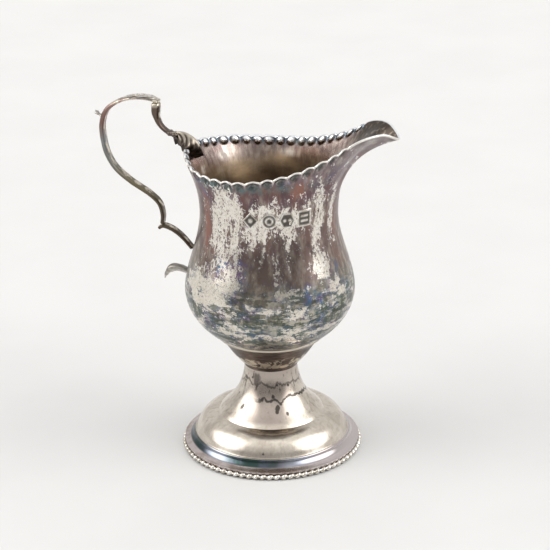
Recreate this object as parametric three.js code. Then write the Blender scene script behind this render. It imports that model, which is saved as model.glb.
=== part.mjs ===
// A pear-shaped cream jug in silver, on a domed pedestal foot.
// Millimetres, +Z up, spout towards +X, handle towards -X. The foot stands on z = 0.
// The bowl is one raised sheet. Everything else is soldered to it or to its neighbour,
// so each piece is modelled alone, with a solder gap between it and the next.
import * as THREE from 'three';

// ---- driving dimensions ----
const SHEET = 0.8;                // thickness of the raised silver sheet
const SOLDER_GAP = 0.3;           // space left between two soldered pieces
const STAND_RADIUS = 27.5;        // outside of the beaded wire that the jug stands on
const WIRE_HEIGHT = 1.4;
const WIRE_INNER_RADIUS = 25.4;
const WIRE_BEADS = 80;
const BEAD_DEPTH = 0.35;          // how deep the grooves between two beads are
const SEAT_HEIGHT = 27.0;         // where the stem meets the collar under the bowl
const SEAT_RADIUS = 8.0;
const COLLAR_TOP = [15.4, 35.8];  // radius and height where the collar meets the bowl
const BELLY_FOOT = [14.5, 36.6];
const BELLY = [25.4, 51.5];       // widest ring of the bowl
const WAIST = [20.4, 75.6];       // narrowest ring of the neck
const SCALLOPS = 35;              // punched scallops, from one side of the lip to the other
const LIP_COLUMNS = 9;            // plain columns of the lip, each side of the pouring tip
const SCALLOP_RISE = 0.8;
const HANDLE_HALF_WIDTH = 1.7;
const HANDLE_HALF_THICKNESS = 0.65;

// The edge of the mouth, from the pouring tip round the +Y side to the handle.
const TIP = [38.9, 0, 100.0];
const HANDLE_SIDE = [-25.2, 0, 94.0];
const MOUTH_SIDE = [
  [35.5, 5.0, 102.4],
  [29.9, 10.1, 101.9],
  [20.7, 14.6, 96.8],
  [10.5, 19.3, 93.0],
  [-3.4, 22.6, 91.1],
  [-17.4, 17.7, 91.8],
];

const SILVER = {
  polished: { color: 0xd6d2cb, roughness: 0.25 },
  tarnished: { color: 0x7d6a68, roughness: 0.4 },
  darkened: { color: 0x4f4742, roughness: 0.45 },
  rubbed: { color: 0xb5aca3, roughness: 0.32 },
};

function silverMesh(name, geometry, finish) {
  const material = new THREE.MeshStandardMaterial({ ...SILVER[finish], metalness: 1 });
  const mesh = new THREE.Mesh(geometry, material);
  mesh.name = name;
  return mesh;
}

function vectors2(pairs) {
  return pairs.map(([x, y]) => new THREE.Vector2(x, y));
}

// ---- turned sheet: an outer profile, and the same profile one sheet further in ----

function offsetProfile(points, distance) {
  return points.map((point, i) => {
    const before = points[Math.max(i - 1, 0)];
    const after = points[Math.min(i + 1, points.length - 1)];
    const along = after.clone().sub(before).normalize();
    return new THREE.Vector2(point.x - along.y * distance, point.y + along.x * distance);
  });
}

function turned(profile, segments) {
  return new THREE.LatheGeometry(profile, segments).rotateX(Math.PI / 2);
}

function turnedRing(outer, segments) {
  const inner = offsetProfile(outer, SHEET).reverse();
  return turned([...outer, ...inner, outer[0].clone()], segments);
}

// ---- bar: a round bar bent along a path in the XZ plane, its section changing on the way ----

function bentBar(pathPoints, halfSizes, steps, sides = 8) {
  const path = new THREE.CatmullRomCurve3(pathPoints.map(([x, z]) => new THREE.Vector3(x, 0, z)));
  const bar = new THREE.CylinderGeometry(1, 1, 1, sides, steps);
  const place = bar.attributes.position;
  for (let i = 0; i < place.count; i += 1) {
    const along = THREE.MathUtils.clamp(place.getY(i) + 0.5, 0, 1);
    const [halfThick, halfWide] = halfSizes(along);
    const centre = path.getPointAt(along);
    const heading = path.getTangentAt(along);
    const out = place.getX(i) * halfThick;
    place.setXYZ(i, centre.x - heading.z * out, place.getZ(i) * halfWide, centre.z + heading.x * out);
  }
  return bar;
}

function taper(start, end) {
  return (along) => [
    THREE.MathUtils.lerp(start[0], end[0], along),
    THREE.MathUtils.lerp(start[1], end[1], along),
  ];
}

// ---- foot ----

function beadedWire() {
  const outline = new THREE.Shape();
  for (let i = 0; i < WIRE_BEADS * 2; i += 1) {
    const angle = (i * Math.PI) / WIRE_BEADS;
    const radius = i % 2 === 0 ? STAND_RADIUS : STAND_RADIUS - BEAD_DEPTH;
    const corner = [radius * Math.cos(angle), radius * Math.sin(angle)];
    if (i === 0) outline.moveTo(...corner);
    else outline.lineTo(...corner);
  }
  outline.closePath();
  outline.holes.push(new THREE.Path().absarc(0, 0, WIRE_INNER_RADIUS, 0, Math.PI * 2, true));
  const options = { depth: WIRE_HEIGHT, bevelEnabled: false, curveSegments: 32 };
  return new THREE.ExtrudeGeometry(outline, options);
}

function domedFoot() {
  const flangeEdge = WIRE_HEIGHT + SOLDER_GAP + SHEET;
  const outer = vectors2([
    [26.7, flangeEdge - 0.1],
    [25.0, 2.9],
    [23.9, 3.9],
    [23.2, 5.2],
    [22.4, 6.9],
    [20.8, 9.2],
    [18.6, 10.8],
    [16.5, 11.3],
    [14.2, 11.3],
  ]);
  return turnedRing(outer, 56);
}

function stem() {
  const outer = vectors2([
    [15.4, 12.1],
    [12.6, 14.8],
    [10.3, 18.0],
    [8.9, 21.5],
    [8.2, 24.5],
    [SEAT_RADIUS, SEAT_HEIGHT - SOLDER_GAP],
  ]);
  const inner = offsetProfile(outer, SHEET);
  const innerTop = SEAT_HEIGHT - SOLDER_GAP - SHEET;
  inner[inner.length - 1].y = innerTop;
  const profile = [
    new THREE.Vector2(0, innerTop),
    ...inner.reverse(),
    ...outer,
    new THREE.Vector2(0, SEAT_HEIGHT - SOLDER_GAP),
  ];
  return turned(profile, 40);
}

function collar() {
  const outer = vectors2([
    [SEAT_RADIUS, SEAT_HEIGHT],
    [9.3, 28.3],
    [11.3, 30.5],
    [13.0, 33.0],
    COLLAR_TOP,
  ]);
  return turnedRing(outer, 40);
}

// ---- bowl ----

function bezier(...corners) {
  return new THREE.CubicBezierCurve(...vectors2(corners));
}

const floorCurve = bezier([0, 36.0], [6, 36.0], [11.5, 36.0], BELLY_FOOT);
const lowerBelly = bezier(BELLY_FOOT, [19.0, 37.8], [BELLY[0], 44.2], BELLY);
const upperBelly = bezier(BELLY, [BELLY[0], 58.5], [WAIST[0], 66.5], WAIST);

function mouthEdge() {
  const farSide = MOUTH_SIDE.map(([x, y, z]) => [x, -y, z]).reverse();
  const corners = [TIP, ...MOUTH_SIDE, HANDLE_SIDE, ...farSide];
  return new THREE.CatmullRomCurve3(corners.map((corner) => new THREE.Vector3(...corner)), true);
}

// The neck rises straight from the waist, then leans out: a little all round the mouth,
// and almost flat where the sheet is drawn out into the lip.
function neckCurve(edge) {
  const angle = Math.atan2(edge.y, edge.x);
  const lip = Math.exp(-((angle / 0.26) ** 2));
  const spoutSide = Math.exp(-((angle / 0.8) ** 2));
  const lean = THREE.MathUtils.degToRad(24 + 50 * lip);
  const rise = 7 + 9 * spoutSide;
  const reach = 5.5 + 3 * lip;
  const radius = Math.hypot(edge.x, edge.y);
  const below = [radius - reach * Math.sin(lean), edge.z - reach * Math.cos(lean)];
  return bezier(WAIST, [WAIST[0], WAIST[1] + rise], below, [radius, edge.z]);
}

function wallStations(curve, steps, skipFirst) {
  const stations = [];
  for (let i = skipFirst ? 1 : 0; i <= steps; i += 1) {
    const heading = curve.getTangent(i / steps);
    const outer = curve.getPoint(i / steps);
    const inner = new THREE.Vector2(outer.x - heading.y * SHEET, outer.y + heading.x * SHEET);
    stations.push({ outer, inner });
  }
  stations[0].inner.x = Math.max(stations[0].inner.x, 0);
  return stations;
}

function meridian(edge) {
  const stations = [
    ...wallStations(floorCurve, 3, false),
    ...wallStations(lowerBelly, 5, true),
    ...wallStations(upperBelly, 4, true),
    ...wallStations(neckCurve(edge), 5, true),
  ];
  return [...stations.map((s) => s.outer), ...stations.map((s) => s.inner).reverse()];
}

function bowl() {
  const columns = SCALLOPS * 2 + LIP_COLUMNS * 2;
  const edges = mouthEdge().getSpacedPoints(columns);
  edges.forEach((edge, i) => {
    const scalloped = i >= LIP_COLUMNS && i <= columns - LIP_COLUMNS;
    if (scalloped && (i - LIP_COLUMNS) % 2 === 0) edge.z -= SCALLOP_RISE;
  });
  const geometry = turned(meridian(edges[0]), columns);
  const rows = geometry.attributes.position.count / (columns + 1);
  edges.forEach((edge, i) => {
    const angle = Math.atan2(edge.y, edge.x);
    meridian(edge).forEach((point, j) => {
      const x = point.x * Math.cos(angle);
      const y = point.x * Math.sin(angle);
      geometry.attributes.position.setXYZ(i * rows + j, x, y, point.y);
    });
  });
  return geometry;
}

// ---- handle ----

function mainScroll() {
  const path = [
    [-32.9, 106.3], [-35.0, 106.9], [-38.3, 107.2], [-41.5, 106.9], [-45.5, 105.6],
    [-48.9, 102.9], [-50.3, 98.7], [-50.2, 94.5], [-49.2, 89.8], [-46.7, 85.2],
    [-42.5, 81.2], [-36.4, 77.0], [-33.7, 74.2], [-32.7, 70.6], [-32.8, 68.6],
  ];
  const section = (along) => [
    HANDLE_HALF_THICKNESS * THREE.MathUtils.mapLinear(Math.min(along, 0.3), 0, 0.3, 0.7, 1),
    HANDLE_HALF_WIDTH,
  ];
  return bentBar(path, section, 30);
}

function leafCap() {
  const path = [[-33.2, 107.6], [-35.4, 108.05], [-38.3, 108.2], [-41.6, 107.95], [-46.0, 106.45]];
  const section = (along) => [0.3, 0.4 + 1.8 * Math.sin(Math.PI * (0.25 + 0.74 * along))];
  return bentBar(path, section, 10);
}

function thumbSpur() {
  return bentBar([[-51.2, 101.0], [-52.1, 101.4], [-53.0, 102.5]], taper([0.7, 1.0], [0.2, 0.25]), 4);
}

function rimArm() {
  const path = [
    [-28.3, 97.0], [-30.2, 97.3], [-31.9, 98.4], [-33.1, 100.0], [-34.0, 102.6], [-34.1, 105.3],
  ];
  return bentBar(path, taper([0.6, 1.3], [1.15, HANDLE_HALF_WIDTH]), 12);
}

function rimLeaf() {
  const path = [[-27.6, 96.3], [-26.4, 96.3], [-25.0, 95.8], [-23.5, 94.6], [-22.4, 92.6], [-22.0, 91.2]];
  const section = (along) => [0.5, 0.4 + 3.2 * Math.sin(Math.PI * (0.15 + 0.84 * along))];
  return bentBar(path, section, 12);
}

function lowerScroll() {
  const path = [
    [-33.8, 66.2], [-32.2, 67.0], [-30.1, 66.3], [-28.2, 65.0], [-26.7, 63.4], [-25.7, 61.8],
    [-25.2, 60.2],
  ];
  return bentBar(path, taper([0.6, HANDLE_HALF_WIDTH], [HANDLE_HALF_THICKNESS, 1.5]), 12);
}

function tailCurl() {
  const path = [
    [-25.5, 59.2], [-26.2, 56.8], [-27.7, 55.2], [-29.5, 54.9], [-31.0, 54.2], [-32.0, 52.7],
    [-32.9, 50.8],
  ];
  return bentBar(path, taper([HANDLE_HALF_THICKNESS, 1.5], [0.3, 0.4]), 12);
}

// ---- the jug ----

const jug = new THREE.Group();
jug.add(
  silverMesh('foot_bead_wire', beadedWire(), 'rubbed'),
  silverMesh('foot_dome', domedFoot(), 'polished'),
  silverMesh('stem', stem(), 'polished'),
  silverMesh('bowl_collar', collar(), 'darkened'),
  silverMesh('bowl', bowl(), 'tarnished'),
  silverMesh('handle_rim_leaf', rimLeaf(), 'darkened'),
  silverMesh('handle_rim_arm', rimArm(), 'tarnished'),
  silverMesh('handle_main_scroll', mainScroll(), 'tarnished'),
  silverMesh('handle_leaf_cap', leafCap(), 'rubbed'),
  silverMesh('handle_thumb_spur', thumbSpur(), 'rubbed'),
  silverMesh('handle_lower_scroll', lowerScroll(), 'tarnished'),
  silverMesh('handle_tail_curl', tailCurl(), 'rubbed'),
);

// Handle and spout reach out by different lengths, so the jug is moved along X
// until the middle of its overall length is at the origin.
const overall = new THREE.Box3().setFromObject(jug);
jug.position.x = -(overall.min.x + overall.max.x) / 2;

export default jug;
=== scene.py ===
import math
import random

import bmesh
import bpy
from mathutils import Euler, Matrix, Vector, noise


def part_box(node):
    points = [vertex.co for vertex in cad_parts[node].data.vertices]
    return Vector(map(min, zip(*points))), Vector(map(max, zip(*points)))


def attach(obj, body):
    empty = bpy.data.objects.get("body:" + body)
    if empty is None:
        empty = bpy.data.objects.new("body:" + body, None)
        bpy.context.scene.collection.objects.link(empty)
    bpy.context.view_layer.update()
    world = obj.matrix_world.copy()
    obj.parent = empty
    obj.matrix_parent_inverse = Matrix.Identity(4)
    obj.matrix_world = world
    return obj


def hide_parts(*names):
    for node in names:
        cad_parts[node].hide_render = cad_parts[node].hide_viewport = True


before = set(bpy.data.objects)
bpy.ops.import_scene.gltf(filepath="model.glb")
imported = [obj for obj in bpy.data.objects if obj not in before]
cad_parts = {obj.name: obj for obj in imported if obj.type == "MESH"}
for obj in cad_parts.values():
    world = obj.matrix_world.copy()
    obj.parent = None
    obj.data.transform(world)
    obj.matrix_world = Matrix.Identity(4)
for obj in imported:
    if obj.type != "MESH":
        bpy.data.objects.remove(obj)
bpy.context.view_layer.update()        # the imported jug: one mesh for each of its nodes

bl_info = {
    "name": "Silver Cream Jug",
    "version": (1, 0, 0),
    "blender": (4, 5, 0),
    "location": "3D View > Sidebar > Cream Jug",
    "description": "Makes an old silver cream jug: foot, bowl, handle, marks and a plain stage",
    "category": "Add Mesh",
}

# Lengths below are in millimetres, measured from the foot's own axis, with the lip at +X.
MM = 0.001
WIRE_LOW, WIRE_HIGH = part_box("foot_bead_wire")
AXIS_X = (WIRE_LOW.x + WIRE_HIGH.x) / 2


def width_of(node):
    """A node's size across the jug, in millimetres."""
    low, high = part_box(node)
    return (high.y - low.y) / MM


def heights_of(node):
    """A node's lowest and highest point, in millimetres."""
    low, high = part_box(node)
    return low.z / MM, high.z / MM


STAND_RADIUS = width_of("foot_bead_wire") / 2
FLANGE_RADIUS = width_of("foot_dome") / 2
FLANGE_BOTTOM, DOME_TOP = heights_of("foot_dome")
STEM_FOOT_RADIUS = width_of("stem") / 2
STEM_TOP = heights_of("stem")[1]
SEAT_HEIGHT = heights_of("bowl_collar")[0]
COLLAR_RADIUS = width_of("bowl_collar") / 2
BELLY_RADIUS = width_of("bowl") / 2
BOWL_FLOOR = heights_of("bowl")[0]
TIP_X = (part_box("bowl")[1].x - AXIS_X) / MM
SEAT_RADIUS = 8.0
BELLY_FOOT = (14.5, 36.6)
BELLY = (BELLY_RADIUS, 51.5)
WAIST = (20.4, 75.6)

# The edge of the mouth, from the pouring tip round the +Y side to the handle.
TIP = (TIP_X, 0, 100.0)
HANDLE_SIDE = (-25.2, 0, 94.0)
MOUTH_SIDE = [
    (35.5, 5.0, 102.4),
    (29.9, 10.1, 101.9),
    (20.7, 14.6, 96.8),
    (10.5, 19.3, 93.0),
    (-3.4, 22.6, 91.1),
    (-17.4, 17.7, 91.8),
]


def at(x, y, z):
    """A point of the jug, from millimetres to the frame's metres."""
    return Vector((AXIS_X + x * MM, y * MM, z * MM))


# ---- sizes and colours that a user would change ----


def length_property(label, about, value):
    return bpy.props.FloatProperty(
        name=label, description=about, default=value * MM, unit="LENGTH", precision=5
    )


def colour_property(label, about, value):
    return bpy.props.FloatVectorProperty(
        name=label, description=about, default=value, subtype="COLOR", size=3, min=0, max=1
    )


class CreamJugBowlSizes(bpy.types.PropertyGroup):
    """Sizes of the bowl and its punched edge"""

    sheet: length_property("Sheet", "Thickness of the raised silver sheet", 0.7)
    scallops: bpy.props.IntProperty(
        name="Scallops", description="Punched scallops round the mouth", default=35, min=5
    )
    lip_length: length_property("Plain lip", "Plain edge on each side of the pouring tip", 17.9)
    dent_depth: length_property("Dent depth", "How far each punch pushes the sheet inwards", 1.0)
    dent_height: length_property("Dent height", "How far down the wall each dent reaches", 2.7)
    cusp_depth: length_property("Cusp depth", "Drop of the edge between two scallops", 0.6)
    unevenness: length_property("Unevenness", "Hand-raised waviness of the sheet", 0.07)
    seed: bpy.props.IntProperty(name="Seed", description="Seed of the uneven punching", default=7)


class CreamJugFootSizes(bpy.types.PropertyGroup):
    """Sizes of the beaded wire under the foot"""

    beads: bpy.props.IntProperty(name="Beads", description="Beads round the foot", default=80)
    bead_length: length_property("Bead length", "Length of one bead along the wire", 2.2)
    bead_width: length_property("Bead width", "Thickness of one bead", 1.75)
    bead_lean: bpy.props.FloatProperty(
        name="Bead lean", description="Lean of each bead", default=0.6, subtype="ANGLE"
    )


class CreamJugColours(bpy.types.PropertyGroup):
    """Colours of the silver and its tarnish"""

    bright: colour_property("Bright silver", "Rubbed silver", (0.83, 0.80, 0.75))
    cream: colour_property("Cream silver", "Silver under a thin warm film", (0.66, 0.60, 0.50))
    warm: colour_property("Warm silver", "Silver of the foot", (0.72, 0.66, 0.58))
    brown: colour_property("Brown", "Thin tarnish", (0.17, 0.122, 0.112))
    plum: colour_property("Plum", "Tarnish near the mouth", (0.15, 0.095, 0.11))
    purple: colour_property("Purple", "Tarnish beside bare silver", (0.17, 0.10, 0.30))
    blue: colour_property("Blue", "Blue tarnish", (0.07, 0.155, 0.31))
    teal: colour_property("Teal", "Teal tarnish", (0.085, 0.135, 0.135))
    olive: colour_property("Olive", "Grey-green tarnish low on the bowl", (0.10, 0.115, 0.085))
    dark: colour_property("Dark", "Dirt in the grooves", (0.03, 0.026, 0.022))


# ---- curves ----


def catmull_span(a, b, c, d, t):
    """A point between b and c on a centripetal curve through a, b, c and d."""
    knots = [0.0]
    for first, second in ((a, b), (b, c), (c, d)):
        knots.append(knots[-1] + max((second - first).length, 1e-6) ** 0.5)
    t0, t1, t2, t3 = knots
    x = t1 + t * (t2 - t1)
    ab = a.lerp(b, (x - t0) / (t1 - t0))
    bc = b.lerp(c, (x - t1) / (t2 - t1))
    cd = c.lerp(d, (x - t2) / (t3 - t2))
    return ab.lerp(bc, (x - t0) / (t2 - t0)).lerp(bc.lerp(cd, (x - t1) / (t3 - t1)), t)


def smooth_line(corners, closed=False, per_span=24):
    """A dense line on the smooth curve through the corners."""
    points = [Vector(corner) for corner in corners]
    if closed:
        padded = [points[-1], *points, points[0], points[1]]
    else:
        padded = [2 * points[0] - points[1], *points, 2 * points[-1] - points[-2]]
    line = []
    for i in range(len(padded) - 3):
        line += [catmull_span(*padded[i:i + 4], k / per_span) for k in range(per_span)]
    line.append(padded[-2].copy())
    return line


def running_lengths(line):
    lengths = [0.0]
    for before, after in zip(line, line[1:]):
        lengths.append(lengths[-1] + (after - before).length)
    return lengths


def points_at(line, distances):
    """The points that lie these distances along a dense line, distances rising."""
    lengths = running_lengths(line)
    found = []
    i = 0
    for distance in distances:
        while i < len(line) - 2 and lengths[i + 1] < distance:
            i += 1
        share = (distance - lengths[i]) / max(lengths[i + 1] - lengths[i], 1e-9)
        found.append(line[i].lerp(line[i + 1], share))
    return found


def bezier(corners, t):
    a, b, c, d = (Vector(corner) for corner in corners)
    s = 1 - t
    return a * s**3 + b * 3 * s * s * t + c * 3 * s * t * t + d * t**3


SHARP_TURN = 0.35
CORNER_STEPS = 5
CORNER_SHARE = 0.45


def soften(line, radius):
    """Rounds every sharp corner of a profile, leaving part of a short side straight."""
    result = [line[0]]
    for before, corner, after in zip(line, line[1:], line[2:]):
        into = corner - before
        out = after - corner
        if into.angle(out, 0) < SHARP_TURN:
            result.append(corner)
            continue
        start = corner - into.normalized() * min(radius, into.length * CORNER_SHARE)
        end = corner + out.normalized() * min(radius, out.length * CORNER_SHARE)
        for k in range(CORNER_STEPS + 1):
            t = k / CORNER_STEPS
            result.append(start.lerp(corner, t).lerp(corner.lerp(end, t), t))
    result.append(line[-1])
    return result


# ---- meshes ----


def new_piece(name, points, faces, *materials):
    """A smooth-shaded piece at the origin, its place in its mesh."""
    mesh = bpy.data.meshes.new(name)
    mesh.from_pydata(points, [], faces)
    whole = bmesh.new()
    whole.from_mesh(mesh)
    bmesh.ops.recalc_face_normals(whole, faces=whole.faces)
    whole.to_mesh(mesh)
    whole.free()
    mesh.polygons.foreach_set("use_smooth", [True] * len(faces))
    for material in materials:
        mesh.materials.append(material)
    mesh.update()
    piece = bpy.data.objects.new(name, mesh)
    bpy.context.scene.collection.objects.link(piece)
    return piece


def add_value(piece, name, values):
    """Stores one number per point, for the piece's material to read."""
    layer = piece.data.attributes.new(name, "FLOAT", "POINT")
    layer.data.foreach_set("value", values)


def ring_faces(rings, size):
    """Quads between rings of points, each ring closed, with a fan over each end."""
    faces = []
    for ring in range(rings - 1):
        for i in range(size):
            j = (i + 1) % size
            a = ring * size
            faces.append((a + i, a + j, a + size + j, a + size + i))
    faces.append(tuple(reversed(range(size))))
    faces.append(tuple(range((rings - 1) * size, rings * size)))
    return faces


def fading(distance, reach, power=2):
    """1 at no distance, about a third at this reach, and close to 0 at twice the reach."""
    return math.exp(-((distance / reach) ** power))


def clamped(value):
    return min(1.0, max(0.0, value))


def eased(stops, along):
    """A value that passes smoothly through (share, value) stops."""
    for (a, first), (b, second) in zip(stops, stops[1:]):
        if along <= b:
            t = (along - a) / (b - a)
            t = t * t * (3 - 2 * t)
            return first + (second - first) * t
    return stops[-1][1]


BAR_AROUND = 28
# Shares of a bar's length at which each rounded end has extra rings.
BAR_END = [0.0, 0.0008, 0.003, 0.008]
BLUNT_LENGTH = 0.8
SMALLEST_END = 0.05
# A power below 1 squares a section: on its inner face, its outer face and its sides.
INNER_POWER, OUTER_POWER, SIDE_POWER = 0.55, 0.8, 0.7
INNER_WEAR = 0.6
KNOP_HEIGHT = 0.3


def squared(value, power):
    return math.copysign(abs(value) ** power, value)


def tapered(thick, wide, flat, knops=()):
    """A bar's section, from stops along it for its half thickness and its half width.

    flat is how flat its inner face is, and knops are (place, reach) shares of its length.
    """

    def section(along):
        knop = KNOP_HEIGHT * sum(fading(along - place, reach) for place, reach in knops)
        return eased(thick, along) + knop, eased(wide, along) + knop, flat

    return section


def swept_bar(name, corners, section, material, steps=90, grime=0.0):
    """A bar along a line in the plane of the handle, grimy on its outer face."""
    line = smooth_line([(x, 0, z) for x, z in corners])
    total = running_lengths(line)[-1]
    middle_shares = [k / steps for k in range(1, steps)]
    shares = BAR_END + middle_shares + [1 - end for end in reversed(BAR_END)]
    centres = points_at(line, [share * total for share in shares])
    points = []
    wear = []
    hollow = []
    for i, (share, centre) in enumerate(zip(shares, centres)):
        ahead = centres[min(i + 1, len(centres) - 1)] - centres[max(i - 1, 0)]
        ahead.normalize()
        outward = Vector((ahead.z, 0, -ahead.x))
        half_thick, half_wide, flat = section(share)
        nearest = min(share, 1 - share) * total
        blunt = min(nearest / (BLUNT_LENGTH * half_thick), 1)
        close = max(SMALLEST_END, math.sqrt(1 - (1 - blunt) ** 2))
        for k in range(BAR_AROUND):
            angle = 2 * math.pi * k / BAR_AROUND
            out = math.cos(angle)
            out = squared(out, INNER_POWER) * flat if out < 0 else squared(out, OUTER_POWER)
            side = squared(math.sin(angle), SIDE_POWER)
            spot = centre + outward * (out * half_thick * close)
            points.append(at(spot.x, side * half_wide * close, spot.z))
            wear.append(out**2 if out > 0 else INNER_WEAR * (out / flat) ** 4)
            hollow.append(grime * (0.6 + 0.4 * out))
    piece = new_piece(name, points, ring_faces(len(shares), BAR_AROUND), material)
    add_value(piece, "wear", wear)
    add_value(piece, "hollow", hollow)
    return piece


LEAF_STEPS = 80
LEAF_ACROSS = 30
LEAF_THICKNESS = 0.25
# How fast a leaf brightens, and its hollows clear of dirt, as the relief rises.
SHINE_RATE, SHINE_START = 3.2, 1.15
GRIME_RATE, GRIME_START = 5, 1.6


def leaf_blade(name, corners, blade, material, tarnish=0.0):
    """A carved leaf laid along a line in the plane of the handle.

    blade(along, side) gives the half width, the relief and the droop of the leaf there.
    """
    line = smooth_line([(x, 0, z) for x, z in corners])
    total = running_lengths(line)[-1]
    centres = points_at(line, [total * k / LEAF_STEPS for k in range(LEAF_STEPS + 1)])
    points = []
    wear = []
    hollow = []
    for i, centre in enumerate(centres):
        ahead = (centres[min(i + 1, LEAF_STEPS)] - centres[max(i - 1, 0)]).normalized()
        outward = Vector((ahead.z, 0, -ahead.x))
        if outward.z < 0:
            outward.negate()
        for face in (1, -1):
            for k in range(LEAF_ACROSS + 1):
                side = (2 * k / LEAF_ACROSS - 1) * face
                half_wide, relief, droop = blade(i / LEAF_STEPS, side)
                lift = relief - droop if face > 0 else -LEAF_THICKNESS - droop
                spot = centre + outward * lift
                points.append(at(spot.x, side * half_wide, spot.z))
                shine = clamped(relief * SHINE_RATE - SHINE_START) if face > 0 else 0
                grime = clamped(GRIME_START - relief * GRIME_RATE) if face > 0 else 0
                wear.append(shine)
                hollow.append(max(grime, tarnish * (1 - shine)))
    faces = ring_faces(LEAF_STEPS + 1, 2 * (LEAF_ACROSS + 1))
    piece = new_piece(name, points, faces, material)
    add_value(piece, "wear", wear)
    add_value(piece, "hollow", hollow)
    return piece


# ---- geometry nodes ----


class Tree:
    """Short calls for adding nodes to a tree and joining them."""

    def __init__(self, tree):
        self.nodes = tree.nodes
        self.links = tree.links

    def add(self, kind, values=None, **settings):
        node = self.nodes.new(kind)
        for key, value in settings.items():
            setattr(node, key, value)
        for key, value in (values or {}).items():
            self.set(node.inputs[key], value)
        return node

    def set(self, socket, value):
        if isinstance(value, bpy.types.Node):
            value = next(out for out in value.outputs if out.enabled)
        if isinstance(value, bpy.types.NodeSocket):
            self.links.new(value, socket)
        else:
            socket.default_value = value

    def math(self, operation, *values, clamp=False):
        kind = "ShaderNodeMath"
        return self.add(kind, dict(enumerate(values)), operation=operation, use_clamp=clamp)

    def times(self, first, second, clamp=False):
        return self.math("MULTIPLY", first, second, clamp=clamp)

    def plus(self, first, second):
        return self.math("ADD", first, second)

    def minus(self, first, second):
        return self.math("SUBTRACT", first, second)

    def most(self, first, second):
        return self.math("MAXIMUM", first, second)

    def on_circle(self, radius, angle):
        """The two sides of a point at this angle of a circle."""
        across = self.times(radius, self.math("COSINE", angle))
        return across, self.times(radius, self.math("SINE", angle))


def open_socket(sockets, name):
    """The socket of this name that the node's settings leave in use."""
    return next(socket for socket in sockets if socket.name == name and socket.enabled)


def geometry_tree(name, inputs):
    """An empty geometry tree with these named inputs, and its group input node."""
    group = bpy.data.node_groups.new(name, "GeometryNodeTree")
    group.interface.new_socket("Geometry", in_out="INPUT", socket_type="NodeSocketGeometry")
    for label, kind in inputs:
        group.interface.new_socket(label, in_out="INPUT", socket_type="NodeSocket" + kind)
    group.interface.new_socket("Geometry", in_out="OUTPUT", socket_type="NodeSocketGeometry")
    tree = Tree(group)
    return group, tree, tree.add("NodeGroupInput").outputs


def end_tree(tree, geometry, material):
    """Smooth shading, real geometry in place of instances, and the material."""
    smooth = tree.add("GeometryNodeSetShadeSmooth", {"Geometry": geometry})
    real = tree.add("GeometryNodeRealizeInstances", {"Geometry": smooth})
    painted = tree.add("GeometryNodeSetMaterial", {"Geometry": real, "Material": material})
    tree.add("NodeGroupOutput", {"Geometry": painted})


def made_by_nodes(name, group, base, values):
    """Runs a geometry tree on a base mesh and keeps the result as a plain mesh."""
    piece = bpy.data.objects.new(name, base)
    bpy.context.scene.collection.objects.link(piece)
    modifier = piece.modifiers.new("shape", "NODES")
    modifier.node_group = group
    for item in group.interface.items_tree:
        if item.in_out == "INPUT" and item.name in values:
            modifier[item.identifier] = values[item.name]
    graph = bpy.context.evaluated_depsgraph_get()
    mesh = bpy.data.meshes.new_from_object(piece.evaluated_get(graph))
    piece.modifiers.clear()
    piece.data = mesh
    mesh.name = name
    return piece


MERGE_REACH = 1e-6


def turned_tree():
    """Turns a profile about the foot's axis. The profile's points are the base mesh's."""
    inputs = [("Segments", "Int"), ("Axis X", "Float"), ("Material", "Material")]
    group, tree, given = geometry_tree("turned_sheet", inputs)
    size = tree.add("GeometryNodeAttributeDomainSize", {"Geometry": given["Geometry"]})
    columns = tree.plus(given["Segments"], 1)
    grid = tree.add(
        "GeometryNodeMeshGrid",
        {"Size X": 1.0, "Size Y": 1.0, "Vertices X": columns, "Vertices Y": size.outputs[0]},
    )
    spot = tree.add("ShaderNodeSeparateXYZ", {0: tree.add("GeometryNodeInputPosition")})
    last = tree.minus(size.outputs[0], 1)
    row = tree.math("ROUND", tree.times(tree.plus(spot.outputs[1], 0.5), last))
    profile = tree.add(
        "GeometryNodeSampleIndex",
        {"Geometry": given["Geometry"], "Index": row},
        data_type="FLOAT_VECTOR",
    )
    tree.set(open_socket(profile.inputs, "Value"), tree.add("GeometryNodeInputPosition"))
    radius_height = tree.add("ShaderNodeSeparateXYZ", {0: profile})
    angle = tree.times(tree.plus(spot.outputs[0], 0.5), 2 * math.pi)
    across, deep = tree.on_circle(radius_height.outputs[0], angle)
    place = tree.add(
        "ShaderNodeCombineXYZ",
        {0: tree.plus(across, given["Axis X"]), 1: deep, 2: radius_height.outputs[2]},
    )
    moved = tree.add("GeometryNodeSetPosition", {"Geometry": grid, "Position": place})
    closed = tree.add("GeometryNodeMergeByDistance", {"Geometry": moved, "Distance": MERGE_REACH})
    end_tree(tree, closed, given["Material"])
    return group


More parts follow.
